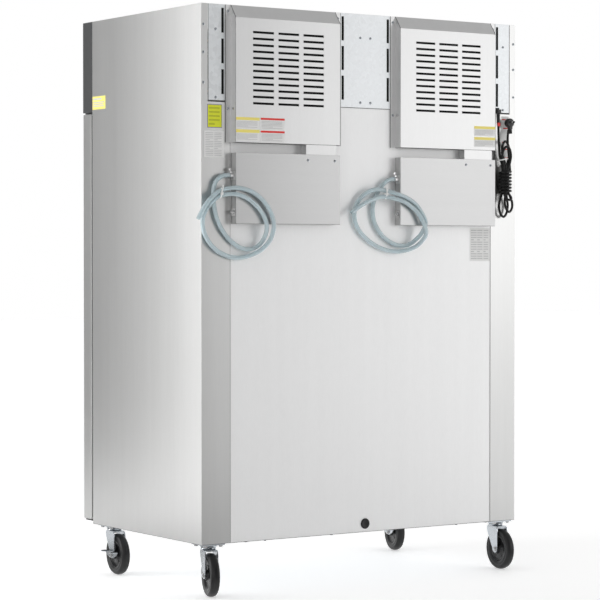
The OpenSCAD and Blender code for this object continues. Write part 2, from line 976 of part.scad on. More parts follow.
drain_hose(-1);  // drain_hose_left
power_gland();
power_cord();
cord_hank();
cord_ties();
plug();
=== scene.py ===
"""Two-section upright refrigerator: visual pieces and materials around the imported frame."""
import math

import bmesh
import bpy
from mathutils import Matrix, Vector


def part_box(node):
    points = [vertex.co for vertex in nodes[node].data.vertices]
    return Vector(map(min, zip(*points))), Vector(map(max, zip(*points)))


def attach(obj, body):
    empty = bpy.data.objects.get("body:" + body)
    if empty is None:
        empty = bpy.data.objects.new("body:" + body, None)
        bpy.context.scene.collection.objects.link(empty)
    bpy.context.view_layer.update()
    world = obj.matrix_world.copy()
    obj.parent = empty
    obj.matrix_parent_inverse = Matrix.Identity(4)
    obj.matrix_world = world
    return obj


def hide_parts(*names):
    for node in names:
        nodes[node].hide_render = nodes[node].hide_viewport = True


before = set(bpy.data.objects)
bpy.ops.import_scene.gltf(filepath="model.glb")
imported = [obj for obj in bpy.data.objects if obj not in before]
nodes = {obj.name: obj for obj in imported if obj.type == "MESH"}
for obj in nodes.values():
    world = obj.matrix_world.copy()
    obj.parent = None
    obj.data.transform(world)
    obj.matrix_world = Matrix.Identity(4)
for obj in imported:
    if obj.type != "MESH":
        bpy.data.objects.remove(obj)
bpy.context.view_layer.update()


def edge(node, end, axis):
    """A coordinate of a CAD node's box, in millimetres: end 0 is the low corner, 1 the high one."""
    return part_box(node)[end][axis] * 1000


# Main planes, in millimetres
REAR = edge("side_panel_right", 1, 1)
LIP = edge("side_panel_right", 0, 1)
FRONT = edge("hood", 0, 1)
BASE = edge("side_panel_right", 0, 2)
TOP = edge("side_panel_right", 1, 2)
HALF = edge("side_panel_right", 1, 0)
DECK = edge("top_deck", 1, 2)
COVER_Y = edge("vent_cover_right", 1, 1)
BOX_LOW = edge("condensate_box_right", 0, 2)
TRAY = DECK + 12

# Middles, in millimetres: of a refrigeration unit and a storage section to either side, and of the fans
UNIT = 349.5
CAVE_X = 325.5
FAN_Y, FAN_Z = -220, DECK + 160

SIDES = (("right", 1), ("left", -1))
TIP = 0.01  # a turned profile stops this close to its axis


# Mesh building --------------------

AXES = {
    "x": lambda u, v, w: Vector((w, u, v)),
    "y": lambda u, v, w: Vector((u, w, v)),
    "z": lambda u, v, w: Vector((u, v, w)),
}


def smooth_path(points, steps=6):
    """Catmull-Rom line through the points."""
    p = [Vector(q) for q in points]
    p = [2 * p[0] - p[1]] + p + [2 * p[-1] - p[-2]]
    line = []
    for i in range(1, len(p) - 2):
        a, b, c, d = p[i - 1 : i + 3]
        slope, bend, twist = c - a, 2 * a - 5 * b + 4 * c - d, 3 * b - a - 3 * c + d
        for k in range(steps):
            t = k / steps
            line.append(0.5 * (2 * b + slope * t + bend * t**2 + twist * t**3))
    return line + [p[-2]]


def around(count):
    """Angles of equal steps round a full turn."""
    return [2 * math.pi * k / count for k in range(count)]


def rings(path, radius, sides, start):
    """Rings of points carried along a path by least turning."""
    found, normal = [], Vector(start)
    for i, p in enumerate(path):
        along = (path[min(i + 1, len(path) - 1)] - path[max(i - 1, 0)]).normalized()
        normal = (normal - normal.dot(along) * along).normalized()
        other = along.cross(normal)
        found.append([p + radius * (math.cos(a) * normal + math.sin(a) * other) for a in around(sides)])
    return found


def skin(rows, sides, closed=False):
    """Quads between neighbouring rows of points, where each row is a ring."""
    return [
        (i * sides + k, i * sides + (k + 1) % sides, j * sides + (k + 1) % sides, j * sides + k)
        for i, j in ((i, (i + 1) % rows) for i in range(rows if closed else rows - 1))
        for k in range(sides)
    ]


def caps(rows, sides):
    """The faces that close the first and the last ring."""
    return [tuple(range(sides)), tuple(range((rows - 1) * sides, rows * sides))]


class Shape:
    """Collects solids, in millimetres, into one mesh piece."""

    def __init__(self):
        self.bm = bmesh.new()

    def add(self, points, faces, mat=0, at=None):
        verts = [self.bm.verts.new(at @ Vector(p) if at else Vector(p)) for p in points]
        for face in faces:
            self.bm.faces.new([verts[i] for i in face]).material_index = mat
        return self

    def box(self, corner, opposite, mat=0, at=None):
        xs, ys, zs = (sorted(pair) for pair in zip(corner, opposite))
        faces = [(0, 2, 3, 1), (4, 5, 7, 6), (0, 1, 5, 4), (2, 6, 7, 3), (0, 4, 6, 2), (1, 3, 7, 5)]
        return self.add([(x, y, z) for z in zs for y in ys for x in xs], faces, mat, at)

    def prism(self, outline, axis, low, high, mat=0, at=None):
        n = len(outline)
        place = AXES[axis]
        points = [place(u, v, w) for w in (low, high) for u, v in outline]
        faces = [tuple(range(n)), tuple(range(2 * n - 1, n - 1, -1)), *skin(2, n)]
        return self.add(points, faces, mat, at)

    def lathe(self, profile, axis, centre=(0, 0, 0), mat=0, sides=32, at=None, closed=False):
        """Turns (radius, height) pairs about an axis; the profile is a loop, or its ends are capped."""
        place, centre = AXES[axis], Vector(centre)
        points = [
            place(r * math.cos(a), r * math.sin(a), h) + centre for r, h in profile for a in around(sides)
        ]
        rows = len(profile)
        faces = skin(rows, sides, closed) + ([] if closed else caps(rows, sides))
        return self.add(points, faces, mat, at)

    def knob(self, profile, axis, centre=(0, 0, 0), mat=0, sides=24, at=None, tip=None):
        """A turned solid, filled to its axis: tip is the height of the middle of a domed end."""
        last = profile[-1][1] if tip is None else tip
        return self.lathe([(TIP, profile[0][1]), *profile, (TIP, last)], axis, centre, mat, sides, at)

    def washer(self, bore, radius, low, high, axis, centre=(0, 0, 0), mat=0, sides=28, at=None):
        profile = [(bore, low), (radius, low), (radius, high), (bore, high)]
        return self.lathe(profile, axis, centre, mat, sides, at, closed=True)

    def rod(self, a, b, r, mat=0, sides=16):
        return self.tube([a, b], r, mat, sides)

    def tube(self, path, r, mat=0, sides=12, bore=0, start=(0, 1, 0), loop=False):
        path = [Vector(p) for p in path]
        n = len(path)
        points = [p for ring in rings(path, r, sides, start) for p in ring]
        faces = skin(n, sides, loop)
        if bore:
            m = n * sides
            points += [p for ring in rings(path, bore, sides, start) for p in ring]
            faces += [tuple(m + i for i in face[::-1]) for face in list(faces)]
            for i in (0, (n - 1) * sides):
                turns = [(i + k, i + (k + 1) % sides) for k in range(sides)]
                faces += [(a, m + a, m + b, b) for a, b in turns]
        elif not loop:
            faces += caps(n, sides)
        return self.add(points, faces, mat)

    def make(self, name, finishes, body="cabinet", bevel=0.0, slot=None, angle=35, replaces=()):
        """Ends the piece; a slot name is worked out from its first finish, unless another is given, but
        nothing uses it.
        """
        bm = self.bm
        bmesh.ops.scale(bm, vec=(0.001, 0.001, 0.001), verts=bm.verts)
        bmesh.ops.recalc_face_normals(bm, faces=bm.faces)
        mesh = bpy.data.meshes.new(name)
        bm.to_mesh(mesh)
        bm.free()
        finishes = finishes if isinstance(finishes, list) else [finishes]
        for finish in finishes:
            mesh.materials.append(finish)
        mesh.shade_smooth()
        mesh.set_sharp_from_angle(angle=math.radians(angle))
        piece = bpy.data.objects.new(name, mesh)
        bpy.context.scene.collection.objects.link(piece)
        if bevel:
            soften(piece, bevel)
        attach(piece, body)
        # The frame has materials of the same names, so Blender may have numbered these.
        slot = slot or finishes[0].name.split(".")[0]
        if replaces:
            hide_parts(*replaces)
        return piece


def soften(piece, width):
    """Rounds the sharp edges of a piece: width in millimetres."""
    cut = piece.modifiers.new("edges", "BEVEL")
    cut.width = width / 1000
    cut.segments = 2
    cut.limit_method = "ANGLE"
    cut.angle_limit = math.radians(40)
    cut.harden_normals = True


def turned(x, y, z, angle=0.0, axis="Z"):
    """A placing matrix: turn by degrees about an axis, then move."""
    return Matrix.Translation((x, y, z)) @ Matrix.Rotation(math.radians(angle), 4, axis)


# Materials --------------------


def triple(value):
    """One number stands for all three."""
    return value if isinstance(value, tuple) else (value,) * 3


def material(
    name, color, rough, metal=0.0, grain=60, grain_share=0.06, mottle=3.0, mottle_share=0.06, mottle_grain=1,
    cells=0, cell_share=0.0, rough_spread=0.08, bump=0.1, bump_height=0.0002, **constants,
):
    """A procedural surface: fine grain (stretched for brushed metal), mottling, and crystals for zinc."""
    color = triple(color)
    made = bpy.data.materials.new(name)
    made.use_nodes = True
    tree = made.node_tree
    link = tree.links.new
    shader = tree.nodes["Principled BSDF"]
    shader.inputs["Metallic"].default_value = metal
    for socket, value in constants.items():
        shader.inputs[socket.replace("_", " ")].default_value = value

    def node(kind, **values):
        n = tree.nodes.new(kind)
        for key, value in values.items():
            n.inputs[key].default_value = value
        return n

    def maths(operation, a, b):
        n = tree.nodes.new("ShaderNodeMath")
        n.operation = operation
        for socket, value in zip(n.inputs, (a, b)):
            if isinstance(value, float):
                socket.default_value = value
            else:
                link(value, socket)
        return n.outputs[0]

    place = tree.nodes.new("ShaderNodeTexCoord").outputs["Object"]
    stretch = node("ShaderNodeMapping", Scale=triple(grain))
    link(place, stretch.inputs["Vector"])
    fine = node("ShaderNodeTexNoise", Scale=1.0, Detail=4.0, Roughness=0.6)
    link(stretch.outputs["Vector"], fine.inputs["Vector"])
    broad = node("ShaderNodeTexNoise", Scale=mottle, Detail=3.0, Roughness=0.55)
    spread = node("ShaderNodeMapping", Scale=triple(mottle_grain))
    link(place, spread.inputs["Vector"])
    link(spread.outputs["Vector"], broad.inputs["Vector"])
    shade = maths(
        "ADD",
        maths("MULTIPLY", maths("SUBTRACT", fine.outputs["Fac"], 0.5), grain_share * 2),
        maths("MULTIPLY", maths("SUBTRACT", broad.outputs["Fac"], 0.5), mottle_share * 2),
    )
    if cells:
        crystal = node("ShaderNodeTexVoronoi", Scale=float(cells))
        link(place, crystal.inputs["Vector"])
        value = tree.nodes.new("ShaderNodeSeparateColor")
        link(crystal.outputs["Color"], value.inputs[0])
        spots = maths("MULTIPLY", maths("SUBTRACT", value.outputs[0], 0.5), cell_share * 2)
        shade = maths("ADD", shade, spots)
    factor = maths("ADD", shade, 0.5)
    mix = tree.nodes.new("ShaderNodeMix")
    mix.data_type = "RGBA"
    mix.inputs["A"].default_value = (*[0.5 * c for c in color], 1.0)
    mix.inputs["B"].default_value = (*[1.5 * c for c in color], 1.0)
    mix.clamp_factor = True
    link(factor, mix.inputs["Factor"])
    link(mix.outputs["Result"], shader.inputs["Base Color"])
    link(maths("ADD", maths("MULTIPLY", shade, rough_spread * 4), rough), shader.inputs["Roughness"])
    raised = node("ShaderNodeBump", Strength=bump, Distance=bump_height)
    link(fine.outputs["Fac"], raised.inputs["Height"])
    link(raised.outputs["Normal"], shader.inputs["Normal"])
    return made


VERTICAL, ACROSS, STREAKS = (900, 900, 14), (14, 900, 900), (26, 26, 0.8)
steel = material(
    "stainless", (0.64, 0.64, 0.635), 0.34, 1.0, VERTICAL, 0.05, 1.0, 0.035, STREAKS, bump=0.12
)
steel_across = material(
    "stainless_across", (0.62, 0.62, 0.615), 0.34, 1.0, ACROSS, 0.05, 2.0, 0.03, bump=0.12
)
sheet = material("rear_sheet", 0.93, 0.5, 0.45, (220, 220, 40), 0.03, 1.0, 0.02, STREAKS, bump=0.08)
pan = material("cover_sheet", 0.72, 0.40, 0.85, (300, 300, 60), 0.03, 1.0, 0.03, STREAKS, bump=0.08)
tray_sheet = material("box_sheet", 0.53, 0.36, 0.9, (40, 700, 700), 0.05, 1.0, 0.045, (1.2, 30, 30))
# Near-black for the seams where sheets meet, and painted shadow for the lines under the covers, the boxes and
# the base
seam_and_shadow_line = material("seam_and_shadow_line", 0.10, 0.6, 0.0, 500, 0.1, 20.0, 0.1)
zinc_sheet = material(
    "galvanised", (0.74, 0.76, 0.775), 0.42, 0.8, 500, 0.05, 5.0, 0.05,
    cells=75, cell_share=0.07, rough_spread=0.12,
)
zinc = material("zinc_plate", (0.56, 0.59, 0.62), 0.22, 1.0, 700, 0.04, 18.0, 0.14, bump=0.15)
bright = material("bright_steel", 0.60, 0.22, 1.0, 900, 0.04, 12.0, 0.05)
foam = material("foam", (0.86, 0.78, 0.55), 0.9, 0.0, 900, 0.12, 20.0, 0.08, bump=0.6, bump_height=0.0006)
liner = material("liner", (0.78, 0.79, 0.80), 0.38, 0.9, VERTICAL, 0.04, 2.5, 0.03)
moulded = material(
    "white_moulding", (0.83, 0.83, 0.81), 0.45, 0.0, 1400, 0.03, 4.0, 0.02,
    bump=0.25, Specular_IOR_Level=0.45,
)
wire_coat = material("shelf_wire", (0.80, 0.81, 0.80), 0.3, 0.0, 900, 0.05, 9.0, 0.04, Coat_Weight=0.5)
fins = material("fin_metal", (0.70, 0.72, 0.73), 0.4, 0.9, (60, 60, 700), 0.10, 9.0, 0.06, bump=0.3)
copper = material("copper", (0.72, 0.36, 0.20), 0.3, 1.0, 400, 0.10, 14.0, 0.14)
black_paint = material("black_paint", (0.018, 0.018, 0.019), 0.32, 0.0, 700, 0.15, 12.0, 0.2, bump=0.35)
dark_trim = material("dark_grey", (0.042, 0.043, 0.045), 0.42, 0.0, 1500, 0.08, 6.0, 0.06, bump=0.4)
black_plastic = material(
    "black_plastic", (0.016, 0.016, 0.017), 0.38, 0.0, 1500, 0.2, 8.0, 0.1, bump=0.35
)
red_plastic = material("red_plastic", (0.42, 0.018, 0.012), 0.3, 0.0, 900, 0.06, 9.0, 0.05)
white_plastic = material("white_plastic", (0.86, 0.86, 0.85), 0.4, 0.0, 1200, 0.03, 9.0, 0.03)
rubber = material("black_rubber", 0.014, 0.55, 0.0, 900, 0.25, 10.0, 0.2, bump=0.5)
tyre = material(
    "tyre", (0.016, 0.016, 0.0165), 0.34, 0.0, 700, 0.22, 9.0, 0.25,
    bump=0.45, bump_height=0.0004, Specular_IOR_Level=0.3,
)
wheel_core = material(
    "wheel_core", (0.010, 0.010, 0.0105), 0.22, 0.0, 900, 0.15, 14.0, 0.15,
    bump=0.25, Specular_IOR_Level=0.4,
)
screen_glass = material("display_glass", (0.006, 0.006, 0.008), 0.08, 0.0, 900, 0.05, 9.0, 0.05, bump=0.02)
segment = material("display_segment", (0.30, 0.02, 0.01), 0.35, 0.0, 900, 0.05, 9.0, 0.05)
gasket = material("gasket", (0.05, 0.05, 0.052), 0.6, 0.0, 800, 0.12, 10.0, 0.08, bump=0.3)
cord_skin = material("cord", 0.006, 0.26, 0.0, 900, 0.2, 12.0, 0.15, bump=0.3, Specular_IOR_Level=0.32)
hose_skin = material(
    "hose", (0.79, 0.91, 0.95), 0.12, 0.0, 160, 0.04, 9.0, 0.05, rough_spread=0.03, bump=0.03,
    Transmission_Weight=0.5, IOR=1.3, Coat_Weight=1.0, Coat_Roughness=0.05,
)
# Near-black: painted shade for recesses, screw crosses, the keyhole and the dark behind louvres and slots
painted_shade_black = material("painted_shade_screen", 0.004, 0.9, 0.0, 300, 0.3, 30.0, 0.3, bump=0.4)
label_white = material("label_white", (0.84, 0.84, 0.83), 0.5, 0.0, 500, 0.02, 20.0, 0.02)
label_grey = material("label_print", 0.58, 0.55, 0.0, 500, 0.10, 40.0, 0.10)
label_yellow = material("label_yellow", (0.93, 0.80, 0.20), 0.45, 0.0, 500, 0.04, 20.0, 0.03)
label_ink = material("label_ink", (0.50, 0.53, 0.02), 0.5, 0.0, 500, 0.05, 20.0, 0.04)
label_lime = material("label_lime", (0.74, 0.79, 0.02), 0.45, 0.0, 500, 0.04, 20.0, 0.03)
label_red = material("label_red", (0.80, 0.03, 0.02), 0.45, 0.0, 500, 0.04, 20.0, 0.03)
label_violet = material("label_violet", (0.16, 0.12, 0.35), 0.5, 0.0, 500, 0.05, 20.0, 0.04)
floor_paint = material(
    "floor", 0.93, 0.7, 0.0, 40, 0.004, 0.6, 0.004, bump=0.02,
    Emission_Color=(1, 1, 1, 1), Emission_Strength=0.42,
)

def named(line):
    """The node names in a line of them, in which * stands for right and left."""
    return [
        name.replace("*", side) for name in line.split() for side in ("right", "left")[: 1 + name.count("*")]
    ]


FINISH = {
    steel: "side_panel_* face_frame door_* hood",
    sheet: "rear_panel",
    tray_sheet: "condensate_box_*",
    pan: "vent_cover_* drain_fittings",
    zinc_sheet: "corner_sheets centre_sheet bottom_panel top_deck unit_trays",
    foam: "insulation",
    liner: "liner_* evaporators",
    bright: "shelf_supports rear_screws",
    fins: "condensers condenser_fan_*",
    black_paint: "compressors fan_shrouds hinge_brackets",
    copper: "refrigerant_lines",
    dark_trim: "hood_caps",
    black_plastic: "controller power_gland",
    red_plastic: "power_switch",
    white_plastic: "evaporator_fan_* cord_ties",
    moulded: "door_liner_*",
    gasket: "gasket_*",
    rubber: "rear_plug",
    zinc: "caster_plates caster_fork_rear_* caster_fork_front_* brake_lever_*",
    tyre: "caster_wheel_rear_* caster_wheel_front_*",
    wire_coat: "shelves",
    cord_skin: "plug cord_hank power_cord",
    hose_skin: "drain_hose_*",
}
for finish, line in FINISH.items():
    for name in named(line):
        nodes[name].data.materials.clear()
        nodes[name].data.materials.append(finish)


# Camera, light and floor --------------------

CAMERA_DIP, CAMERA_TURN = 1.115, 33.863  # degrees below level, and round from straight behind
camera_data = bpy.data.cameras.new("camera")
camera_data.lens = 137.33
camera_data.sensor_width = 36
camera_data.clip_end = 60
camera = bpy.data.objects.new("camera", camera_data)
camera.location = (4.75397, 7.05496, 1.17148)
camera.rotation_euler = (math.radians(90 - CAMERA_DIP), 0, math.radians(180 - CAMERA_TURN))
bpy.context.scene.collection.objects.link(camera)
bpy.context.scene.camera = camera


def aim(thing, place, target, axis):
    thing.rotation_euler = (Vector(target) - Vector(place)).to_track_quat(axis, "Y").to_euler()


def light(name, place, target, size, power):
    data = bpy.data.lights.new(name, "AREA")
    data.shape = "RECTANGLE"
    data.size, data.size_y = size
    data.energy = power
    lamp = bpy.data.objects.new(name, data)
    lamp.location = place
    aim(lamp, place, target, "-Z")
    bpy.context.scene.collection.objects.link(lamp)


def flag(name, place, target, size, shade=0.02):
    """A dark or bright card beside the set, seen only in reflections and soft shadow."""
    bpy.ops.mesh.primitive_plane_add(size=1, location=place)
    card = bpy.context.object
    card.name = name
    card.scale = (*size, 1)
    aim(card, place, target, "Z")
    card.data.materials.append(material(name, shade, 0.9, bump=0.0))
    card.visible_camera = False
    return card


light("key_rear", (-3.6, 4.6, 1.9), (-0.3, 0.3, 1.1), (1.8, 2.2), 14)
light("side_card", (2.9, -1.5, 1.3), (0.7, 0.1, 1.1), (1.1, 3.0), 40)
flag("flag_rear", (0.3, 3.3, 1.5), (0.3, 0.0, 1.2), (2.6, 3.4))
flag("flag_side", (2.7, -3.6, 1.5), (0.7, -0.4, 1.2), (1.9, 3.4))
for card in (
    flag("floor_card_side", (1.75, -0.2, 0.004), (1.75, -0.2, 1), (2.0, 1.8), 0.42),
    flag("floor_card_rear", (0.1, 1.35, 0.004), (0.1, 1.35, 1), (2.4, 1.6), 0.66),
):
    card.visible_diffuse = card.visible_shadow = card.visible_transmission = False

world = bpy.data.worlds.new("studio")
bpy.context.scene.world = world
world.use_nodes = True
sky = world.node_tree
height = sky.nodes.new("ShaderNodeSeparateXYZ")
sky.links.new(sky.nodes.new("ShaderNodeTexCoord").outputs["Generated"], height.inputs[0])
ceiling = sky.nodes.new("ShaderNodeMapRange")
for socket, value in (("From Min", 0.30), ("From Max", 0.85), ("To Min", 1.0), ("To Max", 0.42)):
    ceiling.inputs[socket].default_value = value
sky.links.new(height.outputs["Z"], ceiling.inputs["Value"])
sky.links.new(ceiling.outputs["Result"], sky.nodes["Background"].inputs["Strength"])
sky.nodes["Background"].inputs["Color"].default_value = (1.0, 1.0, 1.0, 1.0)
bpy.context.scene.view_settings.view_transform = "Standard"

bpy.ops.mesh.primitive_plane_add(size=60, location=(0, 0, -0.0005))
floor = bpy.context.object
floor.name = "floor"
floor.data.materials.append(floor_paint)


# Drain hoses and mains lead --------------------
# Each point is [x, distance behind the back, height above the cabinet's base]

HOSES = {
    "right": [
        (574, 16, 1264), (598, 16, 1265), (620, 15, 1258), (637, 12, 1240), (644, 9, 1210),
        (641, 9, 1165), (630, 9, 1118), (604, 9, 1072), (562, 9, 1032), (513, 10, 1012),
        (468, 14, 1022), (446, 26, 1054), (447, 41, 1094), (470, 43, 1140), (515, 43, 1180),
        (571, 40, 1200), (628, 29, 1194), (668, 20, 1160), (688, 12, 1112), (675, 10, 1056),
        (628, 10, 1006), (552, 12, 982), (478, 24, 1000), (434, 38, 1040), (420, 45, 1092),
        (434, 46, 1140), (470, 46, 1184), (518, 45, 1212), (574, 41, 1222), (628, 31, 1212),
        (670, 30, 1182), (698, 30, 1146), (716, 28, 1114),
    ],
    "left": [
        (-125, 16, 1264), (-101, 16, 1264), (-79, 15, 1254), (-58, 12, 1232), (-38, 9, 1200),
        (-26, 9, 1160), (-34, 9, 1108), (-72, 9, 1058), (-128, 9, 1029), (-178, 12, 1028),
        (-212, 22, 1050), (-230, 37, 1080), (-236, 44, 1114), (-202, 42, 1166), (-162, 42, 1193),
        (-118, 41, 1209), (-74, 31, 1221), (-26, 27, 1226), (18, 20, 1208), (48, 12, 1170),
        (54, 10, 1118), (22, 10, 1066), (-46, 10, 1022), (-124, 16, 1004), (-190, 32, 1018),
        (-222, 45, 1046), (-232, 53, 1078), (-207, 50, 1132), (-176, 46, 1162), (-128, 44, 1187),
        (-56, 31, 1200), (-6, 30, 1188), (40, 30, 1168), (80, 28, 1142),
    ],
}


def from_back(points):
    return [(x, REAR + y, BASE + z) for x, y, z in points]


HOSE_D = 15.5
CORD_D = 9.0
HANK = (-620, 25)

hoses, hose_paths = {}, {}
for side, _ in SIDES:
    hose_paths[side] = smooth_path(from_back(HOSES[side]))
    hoses[side] = Shape().tube(hose_paths[side], HOSE_D / 2, sides=20, bore=5.2).make(
        f"drain_hose_{side}_tube", hose_skin, angle=60, replaces=[f"drain_hose_{side}"]
    )


def hank_route():
    """The lead: down from its gland, folded inside the hank, seven turns round it, and up to the plug."""
    x0, y0 = HANK
    feed = [(-597, 12, 1518), (-597, 13, 1490), (-597, 13, 1460), (-598, 13, 1430), (-600, 13, 1400)]
    strands = [
        (19, -11, 1372), (16, -9, 1348), (10, -5, 1322), (9, -5, 1280), (9, -5, 1232),
        (15, -9, 1204), (21, -11, 1176), (15, -11, 1148), (0, -10, 1134), (-15, -11, 1148),
        (-21, -11, 1176), (-15, -9, 1204), (-9, -5, 1232), (-9, -5, 1280), (-9, -5, 1312),
        (-17, -8, 1334), (-25, -9, 1362), (-23, -7, 1390), (-10, -3, 1411), (6, 2, 1412),
        (17, 4, 1394), (18, 5, 1366), (9, 6, 1338), (0, 5, 1314), (0, 5, 1280), (0, 5, 1232),
        (8, 9, 1206), (13, 14, 1182), (7, 17, 1160), (-6, 17, 1152), (-19, 16, 1166),
        (-22, 13, 1188), (-15, 9, 1210), (-9, 5, 1232), (-9, 5, 1280), (-9, 5, 1312),
        (-13, 11, 1334), (-14, 16, 1358), (-7, 19, 1382), (6, 20, 1394), (19, 18, 1386),
        (25, 14, 1364), (20, 9, 1340), (11, 6, 1318), (9, 5, 1280), (9, 5, 1232), (9, 9, 1212),
        (3, 17, 1199), (-10, 19, 1197), (-20, 10, 1206),
    ]
    turns, per_turn, low, pitch = 7, 14, 1220, 12
    start = 200
    wraps = []
    for a in (start + 360 * k / per_turn for k in range(turns * per_turn)):
        x, y = 22 * math.cos(math.radians(a)), 17.5 * math.sin(math.radians(a))
        wraps.append((x, y, low + pitch * (a - start) / 360))
    end = [(-22, -3, 1343), (-15, 0, 1374), (-12, 0, 1404), (-12, -1, 1425), (-15, -3, 1441), (-18, -5, 1457)]
    inside = [(x0 + x, y0 + y, z) for x, y, z in strands + wraps + end]
    return feed + inside


lead_path = smooth_path(from_back(hank_route()), 4)
lead = Shape().tube(lead_path, CORD_D / 2, sides=12).make(
    "mains_lead", cord_skin, angle=60, replaces=["power_cord", "cord_hank"]
)


# What is on the cords --------------------


def band(shape, centre, half_u, half_w, width, turn, plane="yz"):
    """A flat tie strap as a closed band round a bundle, turned about Y."""
    n, thick = 32, 1.2
    points = []
    for grow in (0, thick):
        ring = []
        for a in around(n):
            c, s = (math.copysign(abs(v) ** 0.75, v) for v in (math.cos(a), math.sin(a)))
            ring.append(((half_u + grow) * c, (half_w + grow) * s))
        for end in (-width / 2, width / 2):
            points += [(end, u, w) if plane == "yz" else (u, w, end) for u, w in ring]
    faces = []
    for k in range(n):
        j = (k + 1) % n
        faces += [(k, j, n + j, n + k), (2 * n + k, 3 * n + k, 3 * n + j, 2 * n + j)]
        faces += [(k, 2 * n + k, 2 * n + j, j), (n + k, n + j, 3 * n + j, 3 * n + k)]
    shape.add(points, faces, at=turned(*centre, turn, "Y"))


def hose_tie(side, centre, half_w, turn):
    shape = Shape()
    band(shape, centre, 9.0, half_w, 5.0, turn)
    place = turned(*centre, turn, "Y")
    shape.box((-4.5, 8.6, -6), (4.5, 14.0, 3), at=place)
    path = smooth_path([place @ Vector(p) for p in ((0, 11, 3), (0, 13, 12), (2, 17, 20), (6, 20, 27))], 5)
    tail = rings(path, 1.0, 4, (0, 1, 0))
    for ring, p in zip(tail, path):
        for corner in ring:
            away = corner - p
            corner.x, corner.z = p.x + away.x * 2.4, p.z + away.z * 1.2
    shape.add([p for ring in tail for p in ring], skin(len(path), 4) + caps(len(path), 4))
    return shape.make(f"hose_tie_{side}", white_plastic, bevel=0.3)


hose_ties = {
    "right": hose_tie("right", (628, REAR + 29.5, BASE + 1203), 18.5, -8),
    "left": hose_tie("left", (-66, REAR + 30, BASE + 1211), 20.5, -6),
}
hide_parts("cord_ties")

shape = Shape()
band(shape, (HANK[0] + 16, REAR + HANK[1], BASE + 1347), 12.5, 18, 4.5, 14, plane="xy")
shape.box((HANK[0] + 10, REAR + 42, BASE + 1344), (HANK[0] + 17, REAR + 47, BASE + 1352))
shape.box((HANK[0] + 2, REAR + 44, BASE + 1347), (HANK[0] + 11, REAR + 45.2, BASE + 1350))
hank_tie = shape.make("hank_tie", white_plastic, bevel=0.3)

lead_tag = (
    Shape()
    .tube([(-597, REAR + 13, BASE + 1470), (-597, REAR + 13, BASE + 1483)], CORD_D / 2 + 0.6, sides=20)
    .box((-602.5, REAR + 17.3, BASE + 1471), (-591.5, REAR + 18.1, BASE + 1482))
    .make("lead_tag", label_red, bevel=0.2)
)


def ribbed(first, count, low, pitch, land, ridge, swell, groove, narrow):
    """Profile of ribs along a strain relief: each rib is land wide, and the radii grow from rib to rib."""
    profile = list(first)
    for k in range(count):
        z, r, s = low + k * pitch, ridge + k * swell, groove + k * narrow
        profile += [(r, z), (r, z + land), (s, z + land + 0.2), (s, z + pitch - 0.2)]
    return profile


# Gland in the back with a ribbed strain relief running down onto the lead
gx, gy, gz = -597, REAR + 12, BASE + 1518
relief = ribbed([(5.0, -36), (6.2, -34)], 6, -33, 5, 2, 6.0, 0.25, 5.3, 0.2)
gland = (
    Shape()
    .lathe(relief + [(7.0, -3), (7.0, 1)], "z", (gx, gy, gz), sides=24)
    .box((gx - 7, REAR + 0.1, gz), (gx + 7, REAR + 21, gz + 14))
    .box((gx - 5, REAR + 0.1, gz + 14), (gx + 5, REAR + 12, gz + 20))
    .make("lead_gland", black_plastic, bevel=1.2, replaces=["power_gland"])
)

# Round angled plug: its pins point away from the cabinet, its neck runs down
px, py, pz = -643, REAR + 20, BASE + 1483
shape = Shape().knob(
    [(12.5, -11), (15.6, -9.4), (17, -6), (17, 5), (16.2, 8.4), (14.2, 10.4)], "y", (px, py, pz), sides=48
)
neck = turned(px, py, pz, 10, "Y")
square = ((-1, -1), (1, -1), (1, 1), (-1, 1))
shape.add(
    [(h * u, h * v, z) for h, z in ((8, -8), (6.4, -24)) for u, v in square],
    [(0, 1, 2, 3), (4, 7, 6, 5), (0, 4, 5, 1), (1, 5, 6, 2), (2, 6, 7, 3), (3, 7, 4, 0)], at=neck,
)
ribs = ribbed([(5.4, -40)], 4, -39.5, 4, 2.2, 6.2, 0.3, 5.2, 0.3)
shape.knob(ribs + [(6.6, -23)], "z", sides=20, at=neck)
for x in (-6.3, 6.3):
    shape.box((px + x - 0.8, py + 10, pz - 1), (px + x + 0.8, py + 26, pz + 6), 1)
shape.rod((px, py + 10, pz - 8), (px, py + 27, pz - 8), 2.4, 1)
for x, z in ((-6.3, 2.5), (6.3, 2.5), (0, -8)):
    shape.box((px + x - 3, py + 10.2, pz + z - 5), (px + x + 3, py + 11.2, pz + z + 5))
plug = shape.make("mains_plug", [black_plastic, bright], bevel=0.7, slot="cord", replaces=["plug"])

# Hose clamps with their wing screws, the nut behind each spigot, and the side fixings below and above
for side, sign in SIDES:
    x, y, z = sign * UNIT + 217, REAR + 16, BASE + 1264
    shape = Shape().washer(5.4, 9.6, 8.5, 16.5, "x", (x, y, z))
    for low in (7.5, 16):
        shape.washer(9.0, 10.4, low, low + 1.5, "x", (x, y, z))
    shape.box((x + 8, y - 4, z + 9), (x + 17, y + 4, z + 14))
    shape.rod((x + 12.5, y, z + 12), (x + 12.5, y, z + 22), 2.2)
    shape.box((x + 5.5, y - 0.8, z + 17), (x + 19.5, y + 0.8, z + 25))
    shape.knob([(11, 2.0), (11, 6.5), (9, 7.5)], "x", (x, y, z), sides=6)
    shape.make(f"hose_clamp_{side}", bright, bevel=0.4)
    z = BASE + 1139
    shape = Shape().box((x + 0.1, y - 12, z - 14), (x + 1.6, y + 12, z + 14))
    shape.knob([(8, 1.6), (8, 6.6), (7, 7.6)], "x", (x, y, z), sides=6)
    shape.knob([(3.6, 7.6), (3.6, 12), (2.8, 12.8)], "x", (x, y, z), sides=20)
    shape.make(f"box_fixing_{side}", bright, bevel=0.4)
    shape = Shape().knob([(5, 0), (4.4, 2.0), (2, 2.8)], "x", (x + 1, y, BASE + 1494))
    shape.make(f"cover_side_screw_{side}", bright)
